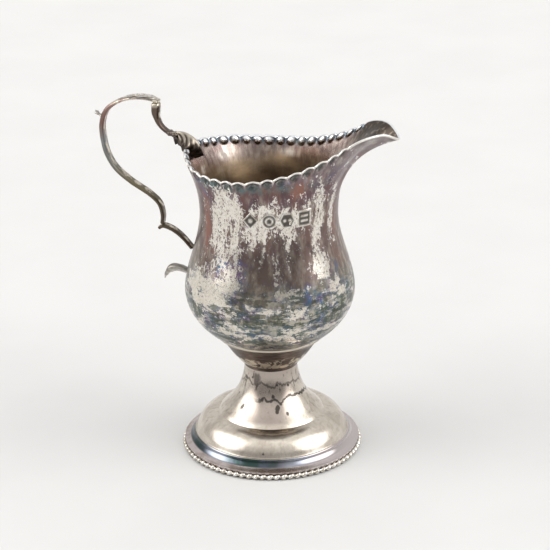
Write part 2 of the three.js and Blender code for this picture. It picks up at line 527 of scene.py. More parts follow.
def beaded_wire_tree():
    """Leaning beads on a thin wire, in a ring round the foot's axis."""
    inputs = [
        ("Beads", "Int"),
        ("Radius", "Float"),
        ("Wire Radius", "Float"),
        ("Centre", "Vector"),
        ("Bead Size", "Vector"),
        ("Lean", "Float"),
        ("Material", "Material"),
    ]
    group, tree, given = geometry_tree("beaded_wire", inputs)
    index = tree.add("GeometryNodeInputIndex")
    step = tree.math("DIVIDE", 2 * math.pi, given["Beads"])
    angle = tree.times(index, step)
    across, deep = tree.on_circle(given["Radius"], angle)
    place = tree.add("ShaderNodeCombineXYZ", {0: across, 1: deep})
    spots = tree.add("GeometryNodePoints", {"Count": given["Beads"], "Position": place})
    turn = tree.add("ShaderNodeCombineXYZ", {0: given["Lean"], 2: angle})
    ball = tree.add("GeometryNodeMeshUVSphere", {"Segments": 14, "Rings": 10, "Radius": 0.5})
    bead = tree.add(
        "GeometryNodeTransform", {"Geometry": ball.outputs[0], "Scale": given["Bead Size"]}
    )
    beads = tree.add(
        "GeometryNodeInstanceOnPoints", {"Points": spots, "Instance": bead, "Rotation": turn}
    )
    ring = tree.add("GeometryNodeCurvePrimitiveCircle", {"Resolution": 160})
    tree.set(open_socket(ring.inputs, "Radius"), given["Radius"])
    section = tree.add("GeometryNodeCurvePrimitiveCircle", {"Resolution": 16})
    tree.set(open_socket(section.inputs, "Radius"), given["Wire Radius"])
    wire = tree.add(
        "GeometryNodeCurveToMesh",
        {"Curve": ring.outputs[0], "Profile Curve": section.outputs[0]},
    )
    both = tree.add("GeometryNodeJoinGeometry")
    tree.links.new(wire.outputs[0], both.inputs[0])
    tree.links.new(beads.outputs[0], both.inputs[0])
    moved = tree.add(
        "GeometryNodeTransform", {"Geometry": both, "Translation": given["Centre"]}
    )
    end_tree(tree, moved, given["Material"])
    return group


# ---- materials ----

PATTERN_SHIFT = (-AXIS_X / MM, 0, 0)
BUMP_DEPTH = 0.05 * MM
BAND_MARGIN = 5


class Finish(Tree):
    """A metal material whose patterns are measured in millimetres from the foot's axis."""

    def __init__(self, name):
        self.material = bpy.data.materials.new(name)
        self.material.use_nodes = True
        tree = self.material.node_tree
        tree.nodes.clear()
        super().__init__(tree)
        coordinates = self.add("ShaderNodeTexCoord")
        scale = (1 / MM,) * 3
        values = {"Vector": coordinates.outputs["Object"], "Location": PATTERN_SHIFT, "Scale": scale}
        self.spot = self.add("ShaderNodeMapping", values)
        axes = self.add("ShaderNodeSeparateXYZ", {0: self.spot})
        self.x, self.y, self.height = axes.outputs
        self.shader = self.add("ShaderNodeBsdfPrincipled", {"Metallic": 1.0})
        self.add("ShaderNodeOutputMaterial", {"Surface": self.shader})

    def grain(self, scale, detail=4.0, roughness=0.55, stretch=None, shift=0.0, where=None):
        """Noise, finer along an axis with a larger stretch, shifted so that no two agree."""
        where = where or self.spot
        if stretch:
            values = {"Vector": where, "Scale": stretch, "Location": (shift,) * 3}
            where = self.add("ShaderNodeMapping", values)
        values = {"Vector": where, "Scale": scale, "Detail": detail, "Roughness": roughness}
        return self.add("ShaderNodeTexNoise", values).outputs["Fac"]

    def step(self, value, start, end):
        """0 at start and before it, 1 at end and past it. The end may be the lower one."""
        values = {"Value": value, "From Min": start, "From Max": end}
        return self.add("ShaderNodeMapRange", values, interpolation_type="SMOOTHSTEP")

    def away(self, value, middle):
        """How far a value lies from the middle, either way."""
        return self.math("ABSOLUTE", self.minus(value, middle))

    def ramp(self, value, stops):
        """A colour that passes through (value, colour) stops."""
        node = self.add("ShaderNodeValToRGB", {0: value})
        elements = node.color_ramp.elements
        while len(elements) < len(stops):
            elements.new(0.5)
        for element, (place, colour) in zip(elements, stops):
            element.position = place
            element.color = (*colour, 1)
        return node.outputs["Color"]

    def bands(self, level, stops):
        """A colour that passes through (height, colour) stops, in millimetres."""
        low = stops[0][0] - BAND_MARGIN
        span = stops[-1][0] + BAND_MARGIN - low
        share = self.math("DIVIDE", self.minus(level, low), span)
        return self.ramp(share, [((height - low) / span, colour) for height, colour in stops])

    def mix(self, share, first, second):
        node = self.add("ShaderNodeMix", data_type="RGBA")
        self.set(node.inputs[0], share)
        for socket, value in ((node.inputs[6], first), (node.inputs[7], second)):
            self.set(socket, value if hasattr(value, "links") else (*value, 1))
        return node.outputs[2]

    def over(self, base, colour, mask, amount):
        """A colour laid over the base where the mask is, and this strongly."""
        return self.mix(self.times(mask, amount), base, colour)

    def mix_number(self, share, first, second):
        return self.add("ShaderNodeMix", {0: share, 2: first, 3: second}, data_type="FLOAT")

    def attribute(self, name):
        return self.add("ShaderNodeAttribute", attribute_name=name).outputs["Fac"]

    def bump(self, height, strength):
        values = {"Height": height, "Strength": strength, "Distance": BUMP_DEPTH}
        self.set(self.shader.inputs["Normal"], self.add("ShaderNodeBump", values))

    def show(self, colour, roughness):
        self.set(self.shader.inputs["Base Color"], colour)
        self.set(self.shader.inputs["Roughness"], roughness)


# The belly's bands of tarnish, then the neck's: height and colour.
BOWL_BANDS = [
    (45, (0.085, 0.09, 0.1)),
    (50, (0.14, 0.17, 0.15)),
    (56, "olive"),
    (64, (0.19, 0.17, 0.14)),
    (69, (0.2, 0.15, 0.13)),
    (75, (0.18, 0.13, 0.12)),
    (84, "brown"),
    (93, "plum"),
    (105, (0.27, 0.23, 0.235)),
]
PALE_BLOTCH = (0.56, 0.52, 0.45)
GREEN_POOL = (0.075, 0.085, 0.072)
RED_STREAK = (0.21, 0.115, 0.095)
THICK_TARNISH = (0.06, 0.05, 0.048)
DARKENED_PATCH = (0.062, 0.05, 0.046)
TEAL_PATCH = (0.115, 0.19, 0.19)
RED_PATCH = (0.3, 0.14, 0.105)
DENT_SHADE_DARK = (0.06, 0.07, 0.066)
DENT_SHADE_GREY = (0.2, 0.21, 0.195)


def banded_tarnish(finish, paint, low_down):
    """Bands of tarnish that wander up and down, with films, blotches, pools and streaks."""
    wander = finish.grain(0.11, 4, 0.6, (1, 1, 1), 30.0)
    level = finish.plus(finish.height, finish.times(wander, 12))
    named = [
        (height, tuple(getattr(paint, colour)) if isinstance(colour, str) else colour)
        for height, colour in BOWL_BANDS
    ]
    tarnish = finish.bands(level, named)
    clouds = finish.step(finish.grain(0.5, 6, 0.62, (1, 1, 0.35), 51.0), 0.44, 0.68)
    pale_film = finish.mix(0.5, tarnish, tuple(paint.cream))
    strength = finish.plus(finish.times(low_down, 0.25), 0.75)
    tarnish = finish.over(tarnish, pale_film, clouds, strength)
    blotches = finish.step(finish.grain(0.42, 8, 0.68, (0.6, 0.6, 1.7), 33.0), 0.5, 0.56)
    blotches = finish.times(blotches, finish.step(finish.height, 61, 55))
    return finish.over(tarnish, PALE_BLOTCH, blotches, 0.8)


def tarnish_films(finish, paint, tarnish, pools, border):
    """The tarnish with its green pools, thick places, darker patches and the painted layers of colour."""
    tarnish = finish.over(tarnish, GREEN_POOL, pools, 0.75)
    streak = finish.grain(0.55, 6, 0.65, (1, 1, 0.1), 41.0)
    reddened = finish.times(finish.step(finish.height, 64, 74), finish.step(streak, 0.5, 0.62))
    tarnish = finish.over(tarnish, RED_STREAK, reddened, 0.55)
    thick = finish.step(finish.grain(0.28, 4, 0.6, (1, 1, 0.5), 71.0), 0.52, 0.7)
    tarnish = finish.over(tarnish, THICK_TARNISH, thick, 0.45)
    # The wall painted darker where the deep patches lie.
    tarnish = finish.over(tarnish, DARKENED_PATCH, finish.attribute("deep"), 0.5)
    hue = finish.grain(0.24, 3, 0.5, (1, 1, 1), 90.0)
    hues = [(0.36, tuple(paint.purple)), (0.5, tuple(paint.blue)), (0.62, tuple(paint.teal))]
    cold = finish.ramp(hue, hues)
    mottle = finish.step(finish.grain(0.45, 6, 0.65, (1, 1, 0.8), 14.0), 0.4, 0.62)
    tarnish = finish.over(tarnish, cold, finish.attribute("cool"), finish.times(mottle, 0.85))
    teal = finish.times(finish.attribute("teal"), finish.plus(mottle, 0.25), clamp=True)
    tarnish = finish.over(tarnish, TEAL_PATCH, teal, 0.85)
    streaked = finish.plus(finish.step(streak, 0.42, 0.55), 0.35)
    red = finish.times(finish.attribute("red"), streaked, clamp=True)
    tarnish = finish.over(tarnish, RED_PATCH, red, 0.8)
    return finish.mix(border, tarnish, cold)


def bowl_outside(finish, paint):
    """Tarnish in bands, rubbed through to bare silver in ragged patches."""
    low_down = finish.step(finish.height, 66, 56)
    runs = finish.grain(0.34, 10, 0.7, (1, 1, 0.3), 3.0)
    spots = finish.grain(0.3, 10, 0.7, (0.7, 0.7, 1.5), 11.0)
    fine = finish.grain(1.25, 8, 0.75, (1, 1, 0.7), 23.0)
    crumbs = finish.times(finish.minus(fine, 0.5), finish.mix_number(low_down, 0.85, 0.35))
    ragged = finish.plus(finish.mix_number(low_down, runs, spots), crumbs)
    rubbed = finish.times(finish.attribute("rubbed"), 0.165)
    bared = finish.plus(finish.plus(ragged, 0.425), rubbed)
    bare = finish.step(bared, 1.035, 1.07)
    border = finish.step(bared, 0.96, 1.035)
    border = finish.times(border, finish.plus(finish.times(low_down, 0.3), 0.12))
    pools = finish.step(finish.grain(0.3, 6, 0.65, (0.6, 0.6, 1.5), 91.0), 0.53, 0.59)
    pools = finish.times(pools, finish.step(finish.height, 62, 56))
    tarnish = banded_tarnish(finish, paint, low_down)
    tarnish = tarnish_films(finish, paint, tarnish, pools, border)

    veil = finish.step(finish.grain(0.8, 5, 0.7, (1, 1, 0.6), 8.0), 0.35, 0.7)
    silver = finish.over(tuple(paint.bright), tuple(paint.cream), veil, 0.75)
    specks = finish.step(finish.grain(1.5, 7, 0.75, (1, 1, 0.8), 61.0), 0.54, 0.59)
    silver = finish.over(silver, tarnish, specks, 0.75)
    silver = finish.over(silver, tuple(paint.cream), low_down, 0.4)
    bare = finish.times(bare, finish.minus(1.0, finish.times(pools, 0.75)))
    colour = finish.mix(bare, tarnish, silver)
    # Painted shade in the punched dents, grey to dark where each dent sinks deepest.
    grey = finish.mix(finish.step(fine, 0.4, 0.6), DENT_SHADE_DARK, DENT_SHADE_GREY)
    colour = finish.over(colour, grey, finish.attribute("hollow"), 0.8)
    worn = finish.plus(finish.times(fine, 0.8), 0.55)
    edge = finish.times(finish.attribute("wear"), worn, clamp=True)
    colour = finish.mix(edge, colour, tuple(paint.bright))
    finish.bump(finish.grain(1.1, 6, 0.6), 0.22)
    finish.show(colour, finish.mix_number(bare, 0.33, 0.25))


# Inside the bowl, from the palest tarnish to the darkest: level of the grain and colour.
GOLDEN_TARNISH = [
    (0.32, (0.68, 0.55, 0.38)),
    (0.45, (0.5, 0.4, 0.28)),
    (0.56, (0.38, 0.3, 0.215)),
    (0.68, (0.26, 0.2, 0.15)),
]
ROSY_DARK, ROSY_PALE = (0.36, 0.27, 0.26), (0.6, 0.5, 0.46)
GLINT = (0.95, 0.9, 0.82)
DUSK = (0.2, 0.155, 0.15)
LIP_DARK, LIP_PALE = (0.085, 0.07, 0.058), (0.26, 0.22, 0.185)
GAP_DARK, GAP_BLUE = (0.045, 0.06, 0.075), (0.2, 0.25, 0.3)
BEAD_BRIGHT = (0.86, 0.89, 0.93)


def bowl_inside(finish, paint):
    """Gold and brown tarnish, rosy near the mouth, bright on the beads the punch raised."""
    drift = finish.grain(0.15, 6, 0.62, (0.7, 0.7, 1.3), 17.0)
    streaks = finish.grain(0.7, 5, 0.6, (1, 1, 0.25), 4.0)
    tarnish = finish.ramp(drift, GOLDEN_TARNISH)
    tarnish = finish.over(tarnish, tuple(paint.cream), finish.step(streaks, 0.45, 0.75), 0.4)
    high = finish.step(finish.plus(finish.height, finish.times(drift, 5)), 85, 91)
    rosy = finish.mix(finish.step(streaks, 0.42, 0.6), ROSY_DARK, ROSY_PALE)
    tarnish = finish.over(tarnish, rosy, high, 0.85)
    glint = finish.times(finish.attribute("glint"), finish.step(streaks, 0.3, 0.5), clamp=True)
    tarnish = finish.over(tarnish, GLINT, glint, 0.9)
    dusk = finish.step(finish.grain(0.35, 4, 0.6, (1, 1, 0.4), 77.0), 0.5, 0.62)
    tarnish = finish.over(tarnish, DUSK, finish.times(dusk, high), 0.6)
    lip = finish.mix(finish.step(streaks, 0.5, 0.62), LIP_DARK, LIP_PALE)
    tarnish = finish.mix(finish.step(finish.x, 19, 27), tarnish, lip)
    bead = finish.attribute("wear")
    gap = finish.mix(finish.step(finish.grain(0.9, 7, 0.65), 0.45, 0.62), GAP_DARK, GAP_BLUE)
    colour = finish.mix(finish.attribute("hollow"), tarnish, gap)
    colour = finish.mix(finish.step(bead, 0.4, 0.9), colour, BEAD_BRIGHT)
    finish.bump(finish.grain(0.8, 5, 0.6), 0.2)
    wall = finish.mix_number(glint, finish.mix_number(high, 0.4, 0.27), 0.55)
    finish.show(colour, finish.mix_number(bead, wall, 0.2))


# Stains on the stem and the foot: angle, height, reach in millimetres, amount.
STAINS = [
    (-66, 16.2, 1.5, 1.0), (-67, 15.2, 1.3, 0.9), (-53, 14.6, 1.2, 0.8), (-47, 14.4, 1.0, 0.5),
    (-91, 18.3, 1.0, 0.9), (-122, 15.5, 1.9, 0.8), (-109, 13.5, 0.9, 0.6), (-149, 9.7, 1.8, 0.5),
    (-82, 6.4, 1.6, 0.7), (-135, 23.5, 1.6, 0.8), (-118, 24.2, 1.3, 0.8), (-92, 22.6, 1.1, 0.7),
    (-64, 22.4, 1.3, 0.8), (-40, 22.0, 1.3, 0.8), (-72, 19.2, 1.4, 0.8), (-30, 18.6, 1.4, 0.8),
    (-146, 18.0, 1.5, 0.6), (40, 15.5, 1.8, 0.8), (95, 17.0, 1.5, 0.7), (150, 14.5, 1.6, 0.8),
]
DOME_FILM = (0.58, 0.52, 0.45)
STEM_STREAK_AND_REFLECTION = (0.36, 0.31, 0.26)
STEM_PAINTED_DARK_REFLECTION = (0.38, 0.325, 0.29)
MAUVE_PALE, MAUVE_DARK = (0.58, 0.52, 0.51), (0.38, 0.31, 0.29)
MAUVE_RING = (0.6, 0.54, 0.52)
HOLLOW_GREEN, HOLLOW_BLUE = (0.04, 0.07, 0.065), (0.085, 0.1, 0.13)
HOLLOW_GREY = (0.13, 0.115, 0.13)
HOLLOW_GLEAM = (0.42, 0.45, 0.53)
FLANGE_PALE = (0.6, 0.55, 0.55)
STAIN = (0.055, 0.05, 0.045)


def stem_silver(finish, paint):
    """The dome's and the stem's warm silver, streaked on the stem partly as painted dark reflection, with
    a painted dark reflection down the stem's front and back.
    """
    clouds = finish.step(finish.grain(0.16, 5, 0.6), 0.38, 0.66)
    silver = finish.mix(clouds, tuple(paint.warm), DOME_FILM)
    on_stem = finish.step(finish.height, 11.8, 13)
    # Vertical streaks, stronger on the stem: partly tarnish streaks, partly painted dark reflections.
    streaks = finish.step(finish.grain(0.8, 5, 0.6, (1, 1, 0.22), 9.0), 0.48, 0.68)
    strength = finish.plus(finish.times(on_stem, 0.3), 0.3)
    silver = finish.over(silver, STEM_STREAK_AND_REFLECTION, streaks, strength)
    # Painted dark reflection down the front and the back of the stem, between its highlights.
    middle = finish.step(finish.away(finish.x, 1.5), 9, 4)
    return finish.over(silver, STEM_PAINTED_DARK_REFLECTION, middle, finish.times(on_stem, 0.8))


def flange_tarnish(finish, radius, hollow):
    """Mauve turned rings on the flange, and blue-green with two gleams in its hollow."""
    ring_grain = finish.grain(2.4, 3, 0.6, where=finish.add("ShaderNodeCombineXYZ", {0: radius}))
    ragged = finish.grain(0.22, 6, 0.62)
    mauve = finish.mix(finish.step(ragged, 0.4, 0.62), MAUVE_PALE, MAUVE_DARK)
    mauve = finish.over(mauve, MAUVE_RING, finish.step(ring_grain, 0.4, 0.65), 0.4)
    blue = finish.mix(finish.step(ragged, 0.44, 0.6), HOLLOW_GREEN, HOLLOW_BLUE)
    blue = finish.mix(finish.step(finish.x, 2, 16), blue, HOLLOW_GREY)
    for gleam_x in (-11.5, 13.5):
        gleam = finish.step(finish.away(finish.x, gleam_x), 6.5, 1.0)
        blue = finish.over(blue, HOLLOW_GLEAM, gleam, 0.7)
    tarnish = finish.mix(hollow, mauve, blue)
    return finish.mix(finish.step(finish.x, 12, 26), tarnish, FLANGE_PALE)


def stain_amount(finish):
    """Two wavering lines round the stem, drips under the collar, spots and flecks."""
    wobble = finish.grain(0.42, 3, 0.6, (1, 1, 0.2), 3.0)
    upper = finish.away(finish.plus(finish.height, finish.times(wobble, 5.5)), 25.3)
    lower = finish.away(finish.plus(finish.height, finish.times(wobble, 4.0)), 20.2)
    upper_line = finish.times(finish.step(upper, 0.55, 0.15), 0.75)
    lower_line = finish.times(finish.step(lower, 0.5, 0.15), finish.step(finish.x, -4, 0))
    spread = finish.grain(0.9, 5, 0.65, (1, 1, 0.5), 13.0)
    spots = finish.plus(finish.attribute("stain"), finish.times(spread, 0.8))
    spots = finish.step(spots, 0.86, 0.98)
    flecks = finish.times(finish.step(spread, 0.63, 0.68), finish.step(finish.height, 13, 17))
    drips = finish.step(finish.grain(0.75, 4, 0.55, (1, 1, 0.12), 23.0), 0.55, 0.62)
    upper_stem = finish.step(finish.height, 19.5, 21.5)
    hanging = finish.times(upper_stem, finish.step(finish.height, 26.2, 25.2))
    drips = finish.times(drips, finish.times(hanging, 0.8))
    stains = finish.most(finish.most(upper_line, lower_line), drips)
    return finish.most(finish.most(stains, spots), finish.times(flecks, 0.6))


def foot_silver(finish, paint):
    """Warm silver, mauve on the flange and blue-green in the hollow round the dome."""
    across = finish.add("ShaderNodeCombineXYZ", {0: finish.x, 1: finish.y})
    radius = finish.add("ShaderNodeVectorMath", {0: across}, operation="LENGTH").outputs["Value"]
    hollow = finish.times(finish.step(finish.height, 2.75, 3.1), finish.step(radius, 25.2, 24.6))
    flange = finish.step(finish.height, 5.25, 4.9)
    silver = stem_silver(finish, paint)
    colour = finish.mix(flange, silver, flange_tarnish(finish, radius, hollow))
    colour = finish.over(colour, STAIN, stain_amount(finish), 0.9)
    finish.bump(finish.grain(0.6, 5, 0.55), 0.16)
    roughness = finish.mix_number(flange, 0.22, 0.27)
    finish.show(colour, finish.mix_number(finish.times(hollow, flange), roughness, 0.14))


TURNED_DARK, TURNED_BROWN = (0.075, 0.056, 0.048), (0.2, 0.155, 0.135)
TURNED_CLOUD = (0.05, 0.036, 0.03)


def dark_silver(finish, paint):
    """Dark brown tarnish with turned lines, pale flecks low down and a pale lip."""
    lines = finish.grain(2.2, 4, 0.6, (0.12, 0.12, 1), 2.0)
    base = finish.mix(finish.step(lines, 0.35, 0.7), TURNED_DARK, TURNED_BROWN)
    clouds = finish.step(finish.grain(0.35, 5, 0.65), 0.5, 0.68)
    base = finish.over(base, TURNED_CLOUD, clouds, 0.5)
    low = finish.times(finish.step(finish.height, 32.5, 29.5), 0.12)
    flecks = finish.step(finish.plus(finish.grain(0.5, 7, 0.66), low), 0.555, 0.6)
    flecks = finish.times(flecks, finish.step(finish.height, 33.5, 31))
    foot_line = finish.step(finish.height, 28.6, 27.9)
    flecks = finish.times(flecks, finish.minus(1.0, foot_line))
    lip = finish.times(finish.step(finish.height, 36.4, 36.7), finish.step(finish.height, 42, 40))
    flecks = finish.most(flecks, finish.times(lip, 0.85))
    flecks = finish.most(flecks, finish.times(finish.attribute("wear"), 0.8))
    base = finish.over(base, tuple(paint.dark), finish.attribute("hollow"), 0.75)
    finish.bump(finish.grain(0.9, 6, 0.6), 0.28)
    colour = finish.mix(flecks, base, tuple(paint.cream))
    finish.show(colour, finish.mix_number(flecks, 0.36, 0.28))


# Up the handle, from the lower scroll to the top: height and colour.
HANDLE_BANDS = [
    (65, (0.11, 0.08, 0.06)),
    (78, (0.11, 0.09, 0.065)),
    (86, (0.18, 0.15, 0.1)),
    (93, (0.2, 0.2, 0.19)),
    (99, (0.24, 0.25, 0.25)),
    (104, (0.21, 0.135, 0.11)),
    (110, (0.3, 0.2, 0.18)),
]
ARM_BROWN = (0.11, 0.085, 0.07)


def handle_silver(finish, paint):
    """Brown and grey tarnish in bands, darker on the rim arm, rubbed pale on the edges."""
    wander = finish.grain(0.12, 5, 0.62, (1, 1, 1), 40.0)
    tarnish = finish.bands(finish.plus(finish.height, finish.times(wander, 10)), HANDLE_BANDS)
    arm = finish.times(finish.step(finish.x, -38, -35), finish.step(finish.height, 92, 94))
    tarnish = finish.over(tarnish, ARM_BROWN, arm, 0.85)
    ragged = finish.grain(0.5, 6, 0.62, (1, 1, 0.5), 7.0)
    worn = finish.plus(finish.times(finish.attribute("wear"), 0.42), ragged)
    bare = finish.step(finish.minus(worn, finish.times(arm, 0.12)), 0.7, 0.86)
    top = finish.times(finish.step(finish.height, 104.6, 106.0), finish.step(ragged, 0.36, 0.56))
    bare = finish.most(bare, top)
    finish.bump(finish.grain(1.0, 5, 0.6), 0.22)
    colour = finish.mix(bare, tarnish, tuple(paint.cream))
    finish.show(colour, finish.mix_number(bare, 0.32, 0.26))


RUBBED_SHADE = (0.5, 0.45, 0.38)
GROOVE_DIRT = (0.06, 0.052, 0.045)
GROOVE_REACH = 0.55 * MM


def rubbed_silver(finish, paint):
    """Soft silver, bright on what stands proud and dark in the grooves."""
    ragged = finish.step(finish.grain(0.9, 6, 0.62), 0.4, 0.66)
    silver = finish.mix(ragged, tuple(paint.bright), RUBBED_SHADE)
    groove = finish.add("ShaderNodeAmbientOcclusion", {"Distance": GROOVE_REACH}, samples=8)
    dirt = finish.step(groove.outputs["AO"], 0.9, 0.5)
    hollow = finish.most(finish.attribute("hollow"), dirt)
    finish.bump(finish.grain(1.4, 5, 0.6), 0.2)
    colour = finish.over(silver, GROOVE_DIRT, hollow, 0.92)
    finish.show(colour, finish.mix_number(hollow, 0.24, 0.42))


FINISHES = {
    "jug_bowl_outside": bowl_outside,
    "jug_bowl_inside": bowl_inside,
    "jug_foot_metal": foot_silver,
    "jug_dark_metal": dark_silver,
    "jug_handle_metal": handle_silver,
    "jug_rubbed_metal": rubbed_silver,
}


def metal(name):
    """One of the jug's metals, made the first time that it is asked for."""
    made = bpy.data.materials.get(name)
    if made:
        return made
    finish = Finish(name)
    FINISHES[name](finish, bpy.context.scene.cream_jug_colours)
    return finish.material


# ---- the foot and the stem ----


def stain_at(point):
    """How stained a point of a turned piece is, from 0 to 1."""
    spot = Vector(((point.x - AXIS_X) / MM, point.y / MM, point.z / MM))
    around = math.atan2(spot.y, spot.x)
    radius = math.hypot(spot.x, spot.y)
    stain = 0.0
    for degrees, height, reach, amount in STAINS:
        apart = Vector(((around - math.radians(degrees)) * radius, spot.z - height))
        stain = max(stain, amount * max(0.0, 1 - apart.length / reach))
    return stain


def turned_piece(name, profile, material, segments=192):
    base = bpy.data.meshes.new(name + "_profile")
    base.from_pydata([(p.x * MM, 0, p.z * MM) for p in profile], [], [])
    group = bpy.data.node_groups.get("turned_sheet") or turned_tree()
    values = {"Segments": segments, "Axis X": AXIS_X, "Material": material}
    piece = made_by_nodes(name, group, base, values)
    add_value(piece, "stain", [stain_at(vertex.co) for vertex in piece.data.vertices])
    return piece


FOOT_SHEET = 0.7
COLLAR_SHEET = 0.7
LEDGE_RADIUS = 0.12
COLLAR_EDGE = 0.2
STEM_EDGE = 0.15
# Points between two corners of the foot's outline, where its sheet has many rows already.
FOOT_SPAN = 14


def sheet_profile(outer, thickness, radius):
    """A closed profile: the outer line, then the same line one sheet further in."""
    inner = []
    for i, point in enumerate(outer):
        ahead = (outer[min(i + 1, len(outer) - 1)] - outer[max(i - 1, 0)]).normalized()
        inner.append(point + Vector((-ahead.z, 0, ahead.x)) * thickness)
    loop = [*outer, *reversed(inner)]
    middle = (loop[0] + loop[-1]) / 2
    return soften([middle, *loop, middle.copy()], radius)


def foot_profile():
    flange_edge = FLANGE_BOTTOM + 0.75
    hollow = smooth_line(
        [(FLANGE_RADIUS, 0, flange_edge), (25.9, 0, 2.55), (24.7, 0, 3.1), (23.85, 0, 4.1),
         (23.6, 0, 4.9)],
        per_span=FOOT_SPAN,
    )
    ledge = [Vector((23.35, 0, 5.15)), Vector((23.05, 0, 5.2))]
    dome = smooth_line(
        [(22.95, 0, 5.45), (22.3, 0, 7.1), (20.9, 0, 9.2), (18.6, 0, 10.75), (16.4, 0, DOME_TOP),
         (14.2, 0, DOME_TOP + 0.1)],
        per_span=FOOT_SPAN,
    )
    return sheet_profile([*hollow, *ledge, *dome], FOOT_SHEET, LEDGE_RADIUS)


def stem_profile():
    outer = smooth_line(
        [(STEM_FOOT_RADIUS, 0, 12.1), (12.6, 0, 14.8), (10.3, 0, 18.0), (8.9, 0, 21.5),
         (8.2, 0, 24.5), (SEAT_RADIUS, 0, STEM_TOP)]
    )
    foot_edge = [Vector((STEM_FOOT_RADIUS + 0.75, 0, 11.2)), Vector((STEM_FOOT_RADIUS + 0.35, 0, 11.6))]
    inner = [
        Vector((STEM_FOOT_RADIUS - 0.8, 0, 11.5)),
        Vector((12.0, 0, 14.2)),
        Vector((9.6, 0, 17.7)),
        Vector((8.0, 0, 21.3)),
        Vector((7.1, 0, 24.4)),
        Vector((6.9, 0, STEM_TOP - 0.7)),
        Vector((0, 0, STEM_TOP - 0.7)),
    ]
    top = [Vector((SEAT_RADIUS, 0, SEAT_HEIGHT + 0.05)), Vector((0, 0, SEAT_HEIGHT + 0.05))]
    return soften([*reversed(inner), *foot_edge, *outer, *top], STEM_EDGE)


def collar_profile():
    """A waisted cup whose rolled lip hugs the bowl."""
    outer = smooth_line(
        [(SEAT_RADIUS, 0, SEAT_HEIGHT - 0.1), (9.3, 0, 28.3), (11.3, 0, 30.6), (13.0, 0, 33.0),
         (14.4, 0, 35.0), (COLLAR_RADIUS + 0.3, 0, 36.2)]
    )
    lip = [Vector((COLLAR_RADIUS + 1.0, 0, 36.7)), Vector((COLLAR_RADIUS + 1.15, 0, 37.35))]
    return sheet_profile([*outer, *lip], COLLAR_SHEET, COLLAR_EDGE)


def seat_ring_profile():
    """The bead of solder between the stem and the collar."""
    steps = 12
    ring_radius = 0.32
    centre = Vector((SEAT_RADIUS - 0.12, 0, SEAT_HEIGHT - 0.1))
    turns = [2 * math.pi * k / steps for k in range(steps + 1)]
    return [centre + Vector((math.cos(a), 0, math.sin(a))) * ring_radius for a in turns]


# ---- the bowl ----

FLOOR_CURVE = [
    (0, 0, BOWL_FLOOR), (6, 0, BOWL_FLOOR), (11.5, 0, BOWL_FLOOR), (BELLY_FOOT[0], 0, BELLY_FOOT[1])
]
LOWER_BELLY = [
    (BELLY_FOOT[0], 0, BELLY_FOOT[1]), (19.0, 0, 37.8), (BELLY[0], 0, 44.2), (BELLY[0], 0, BELLY[1])
]
UPPER_BELLY = [(BELLY[0], 0, BELLY[1]), (BELLY[0], 0, 58.5), (WAIST[0], 0, 66.5), (WAIST[0], 0, WAIST[1])]


# How far round, in radians, the drawn-out lip and the rising spout reach.
LIP_HALF_ANGLE = 0.26
SPOUT_HALF_ANGLE = 0.8
# The neck's lean at its edge in degrees, its rise over the waist, and how far its edge's
# direction is felt, each with what the lip or the spout adds.
NECK_LEAN, LIP_LEAN = 24, 50
NECK_RISE, SPOUT_RISE = 7, 9
NECK_REACH, LIP_REACH = 5.5, 3


def neck_curve(edge):
    """From the waist to the edge of the mouth, almost flat where the lip is drawn out."""
    angle = math.atan2(edge.y, edge.x)
    lip = fading(angle, LIP_HALF_ANGLE)
    lean = math.radians(NECK_LEAN + LIP_LEAN * lip)
    rise = NECK_RISE + SPOUT_RISE * fading(angle, SPOUT_HALF_ANGLE)
    reach = NECK_REACH + LIP_REACH * lip
    radius = math.hypot(edge.x, edge.y)
    below = (radius - reach * math.sin(lean), 0, edge.z - reach * math.cos(lean))
    return [(WAIST[0], 0, WAIST[1]), (WAIST[0], 0, WAIST[1] + rise), below, (radius, 0, edge.z)]


# The wall's rows: which of its four curves, from and to which share of it, and how many.
WALL_ROWS = [(0, 0, 1, 8), (1, 0, 1, 12), (2, 0, 1, 14), (3, 0, 0.75, 12), (3, 0.75, 1, 18)]


def wall_shares():
    """Where the rows of the wall lie on its curves, closer near the edge."""
    rows = []
    for curve, start, end, count in WALL_ROWS:
        rows += [(curve, start + (end - start) * k / count) for k in range(count)]
    return [*rows, (WALL_ROWS[-1][0], 1)]


class Column:
    """One line of the wall, from the middle of the floor to the edge of the mouth."""

    def __init__(self, edge, across, strength):
        self.edge = edge
        self.across = across
        self.strength = strength
        self.angle = math.atan2(edge.y, edge.x)
        curves = [FLOOR_CURVE, LOWER_BELLY, UPPER_BELLY, neck_curve(edge)]
        turn = Euler((0, 0, self.angle)).to_matrix()
        self.wall = [turn @ bezier(curves[curve], t) for curve, t in wall_shares()]


LIP_STEPS = 34
SCALLOP_STEPS = 12
MOUTH_SPAN = 60
# Each scallop's width and depth, against the even ones.
WIDTH_RANGE = (0.82, 1.18)
DEPTH_RANGE = (0.82, 1.12)


